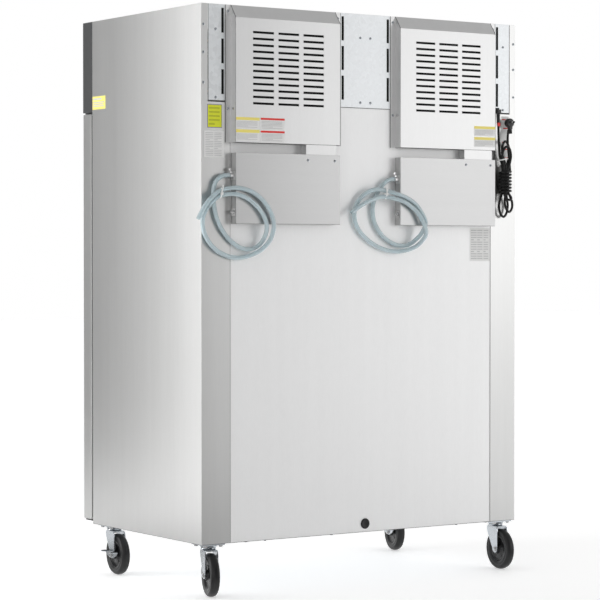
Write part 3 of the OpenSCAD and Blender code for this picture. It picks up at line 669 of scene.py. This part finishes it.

# Cross-head screws: a dome with a cross sunk in it, the cross painted black as the shade in its recess; each
# is (x, height, how proud it stands)
SCREWS = [(x, z, 0) for z in (1535, 1765) for x in (-22, 22)]
SCREWS += [(s * 628, z, 0) for s in (1, -1) for z in (1531, 1764)]
SCREWS += [(s * (HALF - 8.6), z, 0) for s in (1, -1) for z in (1580, 1683, 1778)]
SCREWS += [(s * UNIT + x, z, 1.2) for s in (1, -1) for x in (-229.5, 229.5) for z in (1495, 1828)]
SCREWS += [(s * UNIT + x, 1323, COVER_Y - REAR) for s in (1, -1) for x in (-195, -81)]
SCREW_HEAD = [(5.4, 0), (5.4, 0.5), (4.7, 0.6), (4.4, 1.7), (3.2, 2.5), (1.4, 2.9)]
shape = Shape()
for i, (x, z, proud) in enumerate(SCREWS):
    y = REAR + proud + 0.05
    shape.knob(SCREW_HEAD, "y", (x, y, BASE + z), tip=3.0)
    cross = turned(x, y, BASE + z, 20 + 37 * i, "Y")
    shape.box((-2.3, 2.4, -0.45), (2.3, 3.06, 0.45), 1, cross)
    shape.box((-0.45, 2.4, -2.3), (0.45, 3.06, 2.3), 1, cross)
shape.make("rear_screw_heads", [zinc, painted_shade_black], slot="bright_steel", replaces=["rear_screws"])

# Black mesh screens behind the louvres and slots: painted shade standing for the dark inside
shape = Shape()
for _, s in SIDES:
    x, y = s * UNIT, COVER_Y - 7
    shape.box((x - 165, y, BASE + 1500), (x + 165, y + 1, BASE + 1772))
    for k in range(24):
        z = BASE + 1504 + k * 11.1
        shape.box((x - 165, y + 1, z), (x + 165, y + 1.8, z + 1.2))
    for k in range(28):
        left = x - 163 + k * 12
        shape.box((left, y + 1.8, BASE + 1500), (left + 1.2, y + 2.5, BASE + 1772))
# Black strips behind the exhaust slots: painted shade
for x in (-600.2, -98.8, 98.8, 600.2):
    shape.box((x - 9, REAR - 9, BASE + 1530), (x + 9, REAR - 6, BASE + 1844))
shape.make("exhaust_shade_screens", painted_shade_black, slot="black_plastic")

# Rolled lips round every louvre, standing just proud of the cover
for side, s in SIDES:
    shape = Shape()
    for col in (-1, 0, 1):
        for row in range(12):
            x, z = s * UNIT + col * 104.5, BASE + 1758 - row * 22.2
            y0, y1 = COVER_Y - 1.6, COVER_Y + 0.25
            for low in (z + 4, z - 4.5):
                shape.box((x - 43.4, y0, low), (x + 43.4, y1, low + 0.5))
            for end in (-43.6, 43.0):
                shape.box((x + end, y0, z - 4.5), (x + end + 0.6, y1, z + 4.5))
    shape.make(f"louvre_lips_{side}", pan, slot="rear_sheet")

# Drain plug low in the middle of the back
shape = Shape().knob(
    [(14.8, -6), (14.8, 0), (18.5, 0.1), (19, 1.4), (17.6, 3.4), (13.5, 4.2), (11.5, 2.6)],
    "y", (0, REAR - 1.2, BASE + 30), sides=40, tip=2.2,
)
shape.make("rear_grommet", rubber, angle=50, replaces=["rear_plug"])


# Labels without words --------------------


def label(name, x0, x1, z0, z1, y, base, header=None, header_h=8, lines=0, margin=3, columns=1, ink=None):
    """A printed sticker: a coloured band over rows of plain bars that stand for print."""
    mats = [base, ink or label_grey] + ([header] if header else [])
    shape = Shape().box((x0, y, BASE + z0), (x1, y + 0.25, BASE + z1))
    top = z1
    if header:
        shape.box((x0, y + 0.2, BASE + z1 - header_h), (x1, y + 0.4, BASE + z1), 2)
        top -= header_h
    if lines:
        pitch = (top - z0 - 2 * margin) / lines
        wide = (x1 - x0 - 2 * margin) / columns
        for k in range(lines):
            for c in range(columns):
                share = 0.94 - 0.42 * ((k * 7 + c * 5) % 5 == 3) - 0.08 * ((k * 3 + c) % 3)
                z = top - margin - (k + 0.5) * pitch
                high = x1 - margin - c * wide
                shape.box(
                    (high - wide * share + 1, y + 0.2, BASE + z - pitch * 0.2),
                    (high, y + 0.4, BASE + z + pitch * 0.2), 1,
                )
    return shape.make(name, mats)


cover_face = COVER_Y + 0.05
label("notice_right_1", 470, 566, 1426, 1465, cover_face, label_white, label_yellow, 10, 6)
label("notice_right_2", 470, 566, 1384, 1423, cover_face, label_white, label_yellow, 11, 6)
label("notice_right_3", 367, 466, 1424, 1465, cover_face, label_white, label_red, 7, 6)
label("notice_right_4", 367, 466, 1382, 1421, cover_face, label_white, label_red, 7, 6)
label("notice_left_1", -566, -468, 1430, 1466, cover_face, label_white, label_yellow, 10, 5)
label("notice_left_2", -566, -468, 1390, 1426, cover_face, label_white, label_yellow, 10, 5)
label("data_plate", 595, 674, 1326, 1416, REAR + 0.05, label_white, None, 0, 14, 4, columns=2)
label("energy_label", 603, 662, 1427, 1507, REAR + 0.05, label_violet)
label("energy_label_face", 605, 660, 1429, 1505, REAR + 0.32, label_lime, None, 0, 5, 4, ink=label_ink)
label("lead_card", -658, -621, 1305, 1508, REAR + 0.05, label_white)
shape = Shape()
for k, z in enumerate((1494, 1462, 1410, 1384, 1352)):
    shape.box((-656, REAR + 0.25, BASE + z), (-624 - 6 * (k % 2), REAR + 0.5, BASE + z + 4))
shape.make("lead_card_marks", label_red)
label("circuit_sheet", -573, -474, 970, 1092, REAR - 1.15, label_white, None, 0, 13, 5, columns=3)
shape = Shape().box((HALF + 0.05, -377, BASE + 1526), (HALF + 0.3, -280, BASE + 1574))
for k, (a, b, c) in enumerate(((1561, 1567, 62), (1550, 1553.5, 84), (1543, 1546.5, 74), (1536, 1539.5, 80))):
    shape.box((HALF + 0.25, -372, BASE + a), (HALF + 0.45, -372 + c, BASE + b), 1)
shape.make("side_notice", [label_yellow, label_grey])


# Outlines used by the fittings --------------------


def rounded(outline, radius, steps=4):
    """An outline with every corner rounded."""
    found = []
    for i, corner in enumerate(outline):
        p = Vector(corner)
        a, b = Vector(outline[i - 1]) - p, Vector(outline[(i + 1) % len(outline)]) - p
        size = min(radius, a.length * 0.45, b.length * 0.45)
        start, end = p + a.normalized() * size, p + b.normalized() * size
        for k in range(steps + 1):
            t = k / steps
            found.append(tuple((1 - t) ** 2 * start + 2 * t * (1 - t) * p + t**2 * end))
    return found


def moulding(shape, low, high, profile, mat=0, at=None):
    """A mitred frame in the XZ plane: low and high are (x, z) corners, profile a loop of (inset, y)."""
    n = len(profile)
    points = [
        (high[0] - inset if right else low[0] + inset, y, high[1] - inset if top else low[1] + inset)
        for right, top in ((0, 0), (1, 0), (1, 1), (0, 1))
        for inset, y in profile
    ]
    return shape.add(points, skin(4, n, closed=True), mat, at)


def ring_wire(shape, centre, radius, wire, mat=0, sides=40):
    """A round wire bent into a ring that faces Y."""
    x, y, z = centre
    path = [(x + radius * math.cos(a), y, z + radius * math.sin(a)) for a in around(sides)]
    return shape.tube(path, wire, mat, sides=8, loop=True)


def fan_blades(shape, centre, hub, tip, depth, count, thick, mat=0):
    """Swept, twisted blades about Y."""
    x, y, z = centre
    rows, cols = 7, 7
    for b in range(count):
        points = []
        for face in (-0.5, 0.5):
            for i in range(rows):
                share = i / (rows - 1)
                radius = hub + (tip - hub) * share
                width = 0.92 - 0.22 * share + 0.10 * math.sin(math.pi * share)
                for j in range(cols):
                    u = j / (cols - 1) - 0.5
                    trim = 1 - 0.10 * (2 * abs(u)) ** 3 * share
                    a = 2 * math.pi * b / count + width * u + 0.22 * share
                    curve = depth * (u + 0.16 * math.cos(math.pi * u) - 0.08)
                    points.append((
                        x + radius * trim * math.cos(a),
                        y + curve * (0.82 + 0.18 * share) + face * thick,
                        z + radius * trim * math.sin(a),
                    ))
        m = rows * cols
        faces = []
        for i in range(rows - 1):
            for j in range(cols - 1):
                q = (i * cols + j, i * cols + j + 1, (i + 1) * cols + j + 1, (i + 1) * cols + j)
                faces += [q, tuple(m + v for v in reversed(q))]
        edge_loop = list(range(cols)) + [i * cols + cols - 1 for i in range(1, rows)]
        edge_loop += [(rows - 1) * cols + j for j in range(cols - 2, -1, -1)]
        edge_loop += [i * cols for i in range(rows - 2, 0, -1)]
        faces += [(a, c, m + c, m + a) for a, c in zip(edge_loop, edge_loop[1:] + edge_loop[:1])]
        shape.add(points, faces, mat)
    return shape


MIRROR = Matrix.Scale(-1, 4, (1, 0, 0))


# Casters --------------------

TRAIL, AXLE_Z, CROWN_Z = 31, 75, 156
CASTERS = {
    "rear_right": (HALF - 54, REAR - 44, -17, False),
    "rear_left": (54 - HALF, REAR - 44, -4.5, False),
    "front_right": (HALF - 54, REAR - 705, -3.5, True),
    "front_left": (54 - HALF, REAR - 705, -13.5, True),
}
HALF_TREAD = [
    (46, 13), (50, 15.2), (58, 16), (60, 15.2), (62, 16),
    (67, 15.9), (70.5, 14.2), (73, 11), (74.5, 6.4), (75, 2),
]
HALF_CORE = [
    (5.2, 19), (13, 19), (15.5, 18), (16.6, 13), (19, 10.6), (26, 9), (38, 7.6), (44, 9.6), (46.4, 13),
]
LEG = [(-24, 157), (-22, 140), (18, 70), (23, 63), (39, 63), (46, 78), (46, 140), (42, 157)]
PEDAL = [
    (-50, 8), (-40, -2), (-12, -12), (12, -12), (40, -2), (50, 8),
    (50, 12), (36, 10), (12, 13), (-12, 13), (-36, 10), (-50, 12),
]


def both_halves(half):
    return [(r, -w) for r, w in half] + [(r, w) for r, w in reversed(half)]


def caster_wheel(name, axle):
    shape = Shape()
    shape.lathe(both_halves(HALF_TREAD), "x", sides=72, at=axle, closed=True)
    shape.lathe(both_halves(HALF_CORE), "x", mat=1, sides=56, at=axle, closed=True)
    for end in (-1, 1):
        shape.washer(5.4, 9.5, 18.6 * end, 19.3 * end, "x", mat=2, at=axle)
        for k in range(5):
            a = math.radians(72 * k + 20)
            spot = (0, 30 * math.cos(a), 30 * math.sin(a))
            shape.knob([(4.2, 8.4 * end), (3.4, 9.6 * end)], "x", spot, 1, 12, axle)
    wheel = f"caster_wheel_{name}"
    shape.make(f"caster_{name}_tyre", [tyre, wheel_core, bright], wheel, angle=28, replaces=[wheel])


def caster_fork(name, place, axle, braked):
    shape = Shape()
    for low in (-24, 20):
        shape.prism(rounded(LEG, 9), "x", low, low + 4, at=place)
        shape.washer(5, 13.5, low - 0.6, low + 4.6, "x", (0, TRAIL, AXLE_Z), sides=32, at=place)
    crown = rounded([(-24, -24), (24, -24), (24, 42), (-24, 42)], 7)
    shape.prism(crown, "z", CROWN_Z - 0.5, CROWN_Z + 4, at=place)
    drum = [(7, 159), (21, 159), (25.4, 160.6), (27, 163.4), (26, 166.4), (23, 167.5), (7, 167.5)]
    shape.lathe(drum, "z", sides=48, at=place, closed=True)
    shape.knob([(4.9, -32), (4.9, 36 if braked else 32)], "x", sides=20, at=axle)
    shape.washer(5, 10.5, -25.2, -24.2, "x", mat=1, at=axle)
    head = [(4, -30.4), (7.4, -30.4), (8.9, -29.2), (8.9, -25.2), (4, -25.2)]
    shape.lathe(head, "x", mat=1, sides=6, at=axle, closed=True)
    nut = 29 if braked else 24
    shape.washer(5, 10.5, nut, nut + 1, "x", mat=1, at=axle)
    flats = [(5, nut + 1), (8.9, nut + 1), (8.9, nut + 5.2), (7.6, nut + 6.2), (5, nut + 6.2)]
    shape.lathe(flats, "x", mat=1, sides=6, at=axle, closed=True)
    fork = f"caster_fork_{name}"
    shape.make(f"caster_{name}_fork", [zinc, bright], fork, 0.7, slot="zinc", replaces=[fork])


def caster_raceway(name, spot):
    """The swivel race under the plate, and the plate's four bolts."""
    race = [(20, 168.2), (26.6, 168.2), (29, 170), (30, 173), (28, 176.2), (20, 176.2)]
    shape = Shape().lathe(race, "z", sides=48, at=spot, closed=True)
    for bolt in ((u, v, 0) for u in (-31, 31) for v in (-31, 31)):
        shape.knob([(6.2, 169.2), (7.4, 170.2), (7.4, 174.2)], "z", bolt, 1, 6, spot)
        shape.knob([(9, 174.2), (9, 175.8)], "z", bolt, 1, 24, spot)
    shape.make(f"caster_{name}_raceway", [zinc, bright], bevel=0.4, slot="zinc")


def brake_pedal(side, axle):
    shape = Shape().prism(rounded(PEDAL, 4), "x", 25.4, 28.2, at=axle)
    for v in (-50, 28):
        shape.prism(rounded([(25, v), (48, v), (48, v + 22), (25, v + 22)], 4), "z", 9, 12, at=axle)
        for low in (v + 2.6 + k * 3.8 for k in range(5)):
            shape.box((28, low, 11.8), (46, low + 1.8, 13), 1, axle)
    lever = f"brake_lever_{side}"
    shape.make(f"brake_pedal_{side}", [zinc, rubber], lever, 0.5, slot="zinc", replaces=[lever])


for name, (x, y, angle, braked) in CASTERS.items():
    place = turned(x, y, 0, angle)
    axle = place @ Matrix.Translation((0, TRAIL, AXLE_Z))
    caster_wheel(name, axle)
    caster_fork(name, place, axle, braked)
    caster_raceway(name, turned(x, y, 0))
    if braked:
        brake_pedal(name.split("_")[1], axle)


# Doors --------------------

CAVE_OUT = HALF - 60
DOOR_BACK = FRONT + 59
GAP_Y = DOOR_BACK + 0.1
SEAL = [
    (1.5, 0), (14.5, 0), (14.8, 2.6), (12.4, 3.8), (14.9, 5.4), (12.8, 7.2), (15.6, 9.0), (15.2, 11.6),
    (0.8, 11.6), (0.4, 9.0), (3.0, 7.2), (0.9, 5.4), (3.4, 3.8), (1.2, 2.6),
]
for side, sign in SIDES:
    at = None if sign > 0 else MIRROR
    body = f"door_{side}"
    shape = Shape()
    moulding(shape, (8, BASE + 44), (CAVE_OUT + 19, BASE + 1458), [(d, GAP_Y + h) for d, h in SEAL], at=at)
    shape.make(f"door_seal_{side}", gasket, body, angle=50, replaces=[f"gasket_{side}"])

    # Black strip down the hinge edge, which closes the gap beside the cabinet
    strip = rounded([(677, GAP_Y), (682.5, GAP_Y), (682.5, LIP - 1.6), (677, LIP - 1.6)], 1.6)
    shape = Shape().prism(strip, "z", BASE + 22, BASE + 1506, at=at)
    shape.make(f"door_edge_strip_{side}", rubber, body)

    # Recessed grip with a rolled lip, and a lock below it
    x0, x1, z0, z1 = 19.5, 67.5, BASE + 620, BASE + 900
    lip = [
        (-7, 0.2), (-6.6, -1.0), (-5, -1.8), (-1.5, -2.0), (0.8, -0.8),
        (1.6, 2), (1.6, 28.6), (-0.4, 28.6), (-0.4, 0.2),
    ]
    shape = moulding(Shape(), (x0, z0), (x1, z1), [(d, FRONT + h) for d, h in lip], at=at)
    shape.box((x0, FRONT + 28, z0), (x1, FRONT + 29.6, z1), at=at)
    grip = [(0, 1.5), (15, 1.5), (17, 4), (16, 8), (12, 9), (10, 6), (0, 5)]
    shape.prism([(x0 + 1 + u, FRONT + v) for u, v in grip], "z", z0 + 1, z1 - 1, at=at)
    shape.make(f"door_grip_{side}", dark_trim, body, 0.6)
    lock = (43.5, FRONT, BASE + 560)
    collar = [(11.5, 0.1), (11.5, -1.4), (10.4, -2.4), (8.2, -2.6), (7.9, -1.2)]
    shape = Shape().knob(collar, "y", lock, sides=40, at=at)
    shape.knob([(7.0, -1.0), (7.0, -3.2), (6.2, -3.8)], "y", lock, sides=32, at=at)
    # Keyhole painted black as the shade in its slot
    shape.box((42.6, FRONT - 4.0, BASE + 556), (44.4, FRONT - 3.7, BASE + 564), 1, at)
    shape.make(f"door_lock_{side}", [bright, painted_shade_black], body, 0.3)

    # Screws round the inner panel's edge and the tray-shaped rib of the liner
    shape = Shape()
    for x in (16, CAVE_OUT + 32):
        for k in range(8):
            spot = (x, DOOR_BACK, BASE + 120 + 172 * k)
            shape.knob([(4.6, 0), (4.2, 1.0), (2.4, 1.7)], "y", spot, sides=16, at=at, tip=1.8)
    shape.make(f"door_screws_{side}", bright, body)
    shape = Shape()
    rib = [(0, DOOR_BACK - 2.3), (3, DOOR_BACK + 1.6), (9, DOOR_BACK + 1.6), (12, DOOR_BACK - 2.3)]
    for inset in (26, 60):
        low = (49 + inset, BASE + 78 + inset)
        moulding(shape, low, (CAVE_OUT - 16 - inset, BASE + 1424 - inset), rib, at=at)
    shape.make(f"door_liner_ribs_{side}", moulded, body, slot="white_plastic", angle=60)

    # Screws of the hinge brackets
    shape = Shape()
    for z in (BASE + 1530, BASE + 1548):
        for x in (HALF - 32, HALF - 12):
            shape.knob([(2.6, -2.6), (5, -1.4), (5.4, 0)], "y", (x, LIP - 3.1, z), sides=20, at=at)
    shape.make(f"hinge_screws_{side}", bright)


# Hood, controls and the machine compartment --------------------

louvres, shade_screen, screws = Shape(), Shape(), Shape()
for _, s in SIDES:
    for row in range(10):
        blade = turned(0, FRONT + 1.2, DECK + 70 + row * 22, 32, "X")
        louvres.box((s * 148, 0, -13), (s * 582, 1, 0.4), 0, blade)
    # Black sheet behind the hood louvres: painted shade for the dark compartment behind them
    shade_screen.box((s * 140, FRONT + 22, DECK + 50), (s * 590, FRONT + 23, DECK + 282))
    for x, z in ((u, v) for u in (110, 630) for v in (22, 312)):
        spot = (s * x, FRONT, DECK + z)
        screws.knob([(5.2, 0), (4.6, -1.4), (2.6, -2.3)], "y", spot, tip=-2.4)
louvres.make("hood_louvres", steel_across, bevel=0.3, slot="stainless")
shade_screen.make("hood_shade_screen", painted_shade_black, slot="black_plastic")
screws.make("hood_screws", bright)

# Controller: a bezel, a display with every segment of its three figures drawn, lamps and four buttons
PANEL_Z = DECK + 1
FACE = FRONT - 3
BEZEL = [(0, 3), (0.6, -0.6), (2.6, -1.4), (5, -0.6), (5.4, 0.4), (5.4, 3)]
SEGMENTS = (
    (0.8, 14.2, 5.2, 15.2), (0.8, 0, 5.2, 1), (0.8, 7, 5.2, 8),
    (0, 1, 1, 7), (0, 8, 1, 14.2), (5, 1, 6, 7), (5, 8, 6, 14.2),
)
shape = Shape()
moulding(shape, (-39, PANEL_Z + 145), (39, PANEL_Z + 181), [(d, FACE + h) for d, h in BEZEL])
shape.box((-33, FACE - 0.5, PANEL_Z + 152), (10, FACE + 0.5, PANEL_Z + 175), 1)
for k in range(4):
    button = (16.5 + 9.5 * (k % 2), FACE, PANEL_Z + 158 + 10.5 * (k // 2))
    shape.knob([(4.0, 0.3), (3.8, -0.8), (3.0, -1.4)], "y", button, 2, 28, tip=-1.5)
for k in range(3):
    lamp = (-29, FACE - 0.4, PANEL_Z + 156 + 7.4 * k)
    shape.knob([(1.1, 0), (0.9, -0.6)], "y", lamp, 3, 16, tip=-0.7)
for x in (-21 + 10.2 * figure for figure in range(3)):
    z = PANEL_Z + 156.5
    for left, low, right, high in SEGMENTS:
        shape.box((x + left, FACE - 0.65, z + low), (x + right, FACE - 0.45, z + high), 4)
finishes = [black_plastic, screen_glass, dark_trim, label_lime, segment]
shape.make("controller_face", finishes, bevel=0.25)

rim = [(0, 0), (0.4, -1.6), (1.6, -2.4), (3.0, -1.8), (3.2, 1)]
shape = moulding(Shape(), (60, PANEL_Z + 147), (86, PANEL_Z + 179), [(d, FRONT + h) for d, h in rim])
shape.make("switch_bezel", black_plastic)


def condenser_fan(side, ux):
    body = f"condenser_fan_{side}"
    spot = (ux, FAN_Y, FAN_Z)
    hub = [(4.1, -9), (19, -9), (22, -6), (22, 6), (20, 9), (4.1, 9)]
    shape = Shape().lathe(hub, "y", spot, 1, 36, closed=True)
    fan_blades(shape, spot, 20, 101, 25, 5, 1.4)
    shape.make(f"condenser_blades_{side}", [bright, black_plastic], body, slot="fin_metal", replaces=[body])

    shape = Shape()
    for radius in (34, 50, 66, 82, 98, 114):
        ring_wire(shape, (ux, -194.6, FAN_Z), radius, 1.3)
    for k in range(6):
        a = math.radians(30 + 60 * k)
        ends = [(ux + r * math.cos(a), -193.2, FAN_Z + r * math.sin(a)) for r in (30, 119)]
        shape.rod(*ends, 1.5, sides=8)
    shape.make(f"condenser_guard_{side}", bright, slot="shelf_wire")


def condenser_coil(side, ux):
    """Fins between end plates, and tubes that turn back outside them."""
    shape = Shape()
    for k in range(84):
        x = ux - 182 + k * 364 / 83
        shape.box((x - 0.35, -319, TRAY + 10), (x + 0.35, -264, TRAY + 282))
    for x in (ux - 190, ux + 187):
        shape.box((x, -320, TRAY + 2), (x + 3, -262.2, TRAY + 290), 1)
    for z in (TRAY + 2, TRAY + 287):
        shape.box((ux - 187, -320, z), (ux + 187, -262.2, z + 3), 1)
    for z in (TRAY + 40 + k * 42 for k in range(6)):
        for y in (-305, -277):
            shape.rod((ux - 190, y, z), (ux + 190, y, z), 4.6, 2, 12)
        for end in (-1, 1):
            bend = [
                (ux + end * (190 + 11 * math.sin(a)), -291 - 14 * math.cos(a), z + 0.01)
                for a in (math.pi * j / 10 for j in range(11))
            ]
            shape.tube(bend, 4.6, 2, 12, start=(0, 0, 1))
    finishes = [fins, zinc_sheet, copper]
    shape.make(f"condenser_coil_{side}", finishes, replaces=["condensers"])


def compressor(side, ux):
    """A welded can on rubber feet, with its terminal box and its suction stub."""
    cx, cy, cz = ux - 120, 90, TRAY + 2
    can = [
        (66, 18), (80, 24), (89, 36), (91, 60), (91, 74), (93, 75.5), (93, 80.5),
        (91, 82), (91, 110), (86, 132), (74, 148), (54, 159), (28, 165),
    ]
    shape = Shape().knob(can, "z", (cx, cy, cz), sides=64, tip=167)
    foot_plate = rounded([(cx - 100, 15), (cx + 100, 15), (cx + 100, 165), (cx - 100, 165)], 16)
    shape.prism(foot_plate, "z", cz + 14, cz + 18)
    for foot in ((cx + u, cy + v, cz) for u in (-85, 85) for v in (-60, 60)):
        shape.knob([(12, 0), (12, 5), (9.5, 7), (12, 9), (12, 14)], "z", foot, 1)
        shape.knob([(6.4, 18), (6.4, 23)], "z", foot, 2, 6)
    box = rounded([(56, cz + 60), (124, cz + 60), (124, cz + 130), (56, cz + 130)], 8)
    shape.prism(box, "x", cx + 84, cx + 127, 3)
    shape.box((cx + 127, 66, cz + 68), (cx + 128, 114, cz + 118), 3)
    shape.rod((cx - 20, 120, cz + 150), (cx - 20, 120, cz + 168), 6, 4)
    finishes = [black_paint, rubber, zinc, black_plastic, copper]
    shape.make(f"compressor_{side}", finishes, bevel=0.8, replaces=["compressors"])


# Pipe routes as (across from the unit's middle, y, height above the tray)
HIGH_PIPE = (
    (206, -291, 250), (222, -291, 246), (230, -280, 232), (230, -180, 226), (230, 60, 226), (222, 150, 222),
    (180, 190, 216), (90, 196, 212), (20, 180, 206), (-60, 150, 196), (-120, 132, 186), (-138, 122, 172),
    (-140, 120, 164),
)
LOW_PIPE = (
    (206, -291, 40), (224, -291, 42), (234, -276, 48), (234, -100, 50), (234, 120, 50), (220, 200, 44),
    (180, 230, 24), (170, 236, 4),
)


def pipes(side, ux):
    """The high and low line, the receiver and the drier."""
    shape = Shape()
    for run, size in ((HIGH_PIPE, 4.2), (LOW_PIPE, 3.6)):
        shape.tube(smooth_path([(ux + x, y, TRAY + z) for x, y, z in run]), size, sides=14)
    tank = [
        (38, 2.2), (48, 8), (52, 18), (52, 66), (52.8, 67), (52.8, 70),
        (52, 71), (52, 126), (46, 140), (30, 148),
    ]
    shape.knob(tank, "z", (ux + 120, 60, TRAY), 1, 48, tip=152)
    shape.knob([(7, 150), (7, 158), (4.4, 160)], "z", (ux + 120, 60, TRAY))
    drier = [(5, -52), (15, -40), (16, -34), (16, 34), (15, 40), (5, 52)]
    shape.knob(drier, "y", (ux + 234, 20, TRAY + 50), sides=28)
    finishes = [copper, black_paint]
    shape.make(f"refrigerant_pipes_{side}", finishes, replaces=["refrigerant_lines"])


def condenser_motor(side, ux):
    """The motor's ribs and end cap, and its lead to the compressor."""
    shape = Shape()
    for a in around(12):
        rib = Matrix.Translation((ux, 0, FAN_Z)) @ Matrix.Rotation(a, 4, "Y")
        shape.box((41, -182, -1.2), (44, -126, 1.2), 0, rib)
    end_cap = [(34, -120), (41, -124), (41, -121), (36, -116)]
    shape.knob(end_cap, "y", (ux, 0, FAN_Z), sides=36)
    run = [
        (0, -130, FAN_Z - 40), (4, -128, FAN_Z - 60), (12, -110, FAN_Z - 110), (30, -60, TRAY + 16),
        (20, 20, TRAY + 14), (0, 60, TRAY + 40), (2, 84, TRAY + 90),
    ]
    shape.tube(smooth_path([(ux + x, y, z) for x, y, z in run]), 3.2, 1, 10)
    shape.make(f"condenser_motor_{side}", [black_paint, cord_skin], bevel=0.4)


for side, s in SIDES:
    for build in (condenser_fan, condenser_coil, compressor, pipes, condenser_motor):
        build(side, s * UNIT)


# Storage sections --------------------

shape = Shape()
for _, s in SIDES:
    for level in (420, 760, 1080):
        x0, x1, y0, y1, z = s * CAVE_X - 294, s * CAVE_X + 294, -330, 230, BASE + level
        rim = rounded([(x0 + 3, y0 + 3), (x1 - 3, y0 + 3), (x1 - 3, y1 - 3), (x0 + 3, y1 - 3)], 14)
        shape.tube([(u, v, z + 3) for u, v in rim], 3, sides=8, start=(0, 0, 1), loop=True)
        for y in (y0 + 140, y0 + 280, y0 + 420):
            shape.rod((x0 + 3, y, z + 3), (x1 - 3, y, z + 3), 3, sides=8)
        for k in range(24):
            x = x0 + 14 + k * 560 / 23
            wire = [(x, y0 + 3, z + 4), (x, y0 + 5, z + 7.4), (x, y1 - 5, z + 7.4), (x, y1 - 3, z + 4)]
            shape.tube(wire, 1.9, sides=6, start=(1, 0, 0))
shape.make("wire_shelves", wire_coat, angle=60, replaces=["shelves"])


def evaporator(side, cx, z):
    """The fan, its guard, and the fins and screws that show round it."""
    body = f"evaporator_fan_{side}"
    spot = (cx, 138, z)
    hub = [(3.1, -7), (12, -7), (14, -4), (14, 5), (12, 7), (3.1, 7)]
    shape = Shape().lathe(hub, "y", spot, sides=28, closed=True)
    fan_blades(shape, spot, 12.5, 50, 12, 5, 1.2)
    shape.make(f"evaporator_blades_{side}", white_plastic, body, replaces=[body])
    shape = Shape()
    for radius in (12, 22, 32, 42, 52, 62):
        ring_wire(shape, (cx, 108.2, z), radius, 1.1, sides=32)
    for a in (math.radians(45 + 90 * k) for k in range(4)):
        shape.rod((cx, 109.2, z), (cx + 66 * math.cos(a), 109.2, z + 66 * math.sin(a)), 1.2, sides=8)
    shape.make(f"evaporator_guard_{side}", bright, slot="shelf_wire")
    shape = Shape()
    for x in (cx - 222 + k * 444 / 69 for k in range(70)):
        shape.box((x - 0.3, 229.4, z - 57), (x + 0.3, 232.4, z + 81))
    for spot in ((cx + u, 110, z + v) for u in (-225, 225) for v in (-62, 74)):
        shape.knob([(4.8, 0), (4.4, -1.4), (2.4, -2.1)], "y", spot, 1, 18, tip=-2.2)
    shape.make(f"evaporator_fins_{side}", [fins, bright])


for side, s in SIDES:
    evaporator(side, s * CAVE_X, BASE + 1340)


# Dark seams where sheets meet, and painted shadow lines along the cover, box and base edges
# --------------------

COVER_LOW = BASE + 1378
shape = Shape()
for _, s in SIDES:
    middle, inner, outer = s * UNIT, s * (HALF - 118), s * (HALF - 28)
    # Painted shadow lines down the outer edges of each cover's flanges
    for x in (middle - 240, middle + 240):
        shape.box((x - 0.7, REAR + 0.1, COVER_LOW), (x + 0.7, REAR + 1.5, TOP - 1))
    for x in (middle - 217.6, middle + 217.6):
        shape.rod((x, REAR + 0.6, TOP - 0.6), (x, COVER_Y, TOP - 44), 1.0, sides=8)
        shape.rod((x, COVER_Y - 0.2, TOP - 44), (x, COVER_Y - 0.2, COVER_LOW + 1), 0.45, sides=8)
    # Painted shadow lines under each cover and under each box
    shape.box((middle - 217, REAR + 0.4, COVER_LOW - 0.7), (middle + 217, COVER_Y + 0.15, COVER_LOW + 0.9))
    shape.box((middle - 216, COVER_Y - 0.4, BOX_LOW - 0.2), (middle + 216, COVER_Y + 0.12, BOX_LOW + 0.9))
    for x in (s * 126, inner, outer):
        shape.box((x - 0.7, REAR - 1.0, DECK), (x + 0.7, REAR + 0.3, TOP - 1))
    x = s * (HALF - 116)
    shape.box((x - 0.6, REAR - 1.2, BASE + 1), (x + 0.6, REAR + 0.1, DECK - 1))
    shape.box((inner, REAR - 1, DECK + 3.6), (outer, REAR + 0.3, DECK + 5.4))
    # Painted shadow line along the bottom edge of each side
    shape.box((s * HALF - 0.25, LIP + 2, BASE), (s * HALF + 0.25, REAR - 1, BASE + 1.1))
shape.box((-126, REAR - 1, DECK - 0.9), (126, REAR + 0.3, DECK + 0.9))
# Painted shadow line along the base's rear edge
shape.box((-HALF + 1, REAR - 0.4, BASE), (HALF - 1, REAR + 0.25, BASE + 1.1))
shape.make("sheet_seams_and_painted_shadows", seam_and_shadow_line, slot="dark_grey")

# Heads of the screws that hold the base, seen just under its rear edge
shape = Shape()
for x in (-560, -420, -140, 140, 420, 500):
    shape.knob([(6, 0), (5.4, -2.2), (3, -3.4)], "z", (x, REAR - 12, BASE), sides=20, tip=-3.5)
shape.make("base_screws", black_plastic)


# Softened edges on the plain CAD pieces --------------------

EDGES = {
    0.45: "side_panel_* rear_panel face_frame hood vent_cover_* condensate_box_* drain_fittings corner_sheets"
    " centre_sheet unit_trays top_deck liner_* shelf_supports evaporators",
    1.0: "door_* hinge_brackets caster_plates door_liner_* power_switch",
    2.0: "hood_caps controller",
}
for width, line in EDGES.items():
    for name in named(line):
        weld = nodes[name].modifiers.new("weld", "WELD")
        weld.merge_threshold = 0.00002
        soften(nodes[name], width)
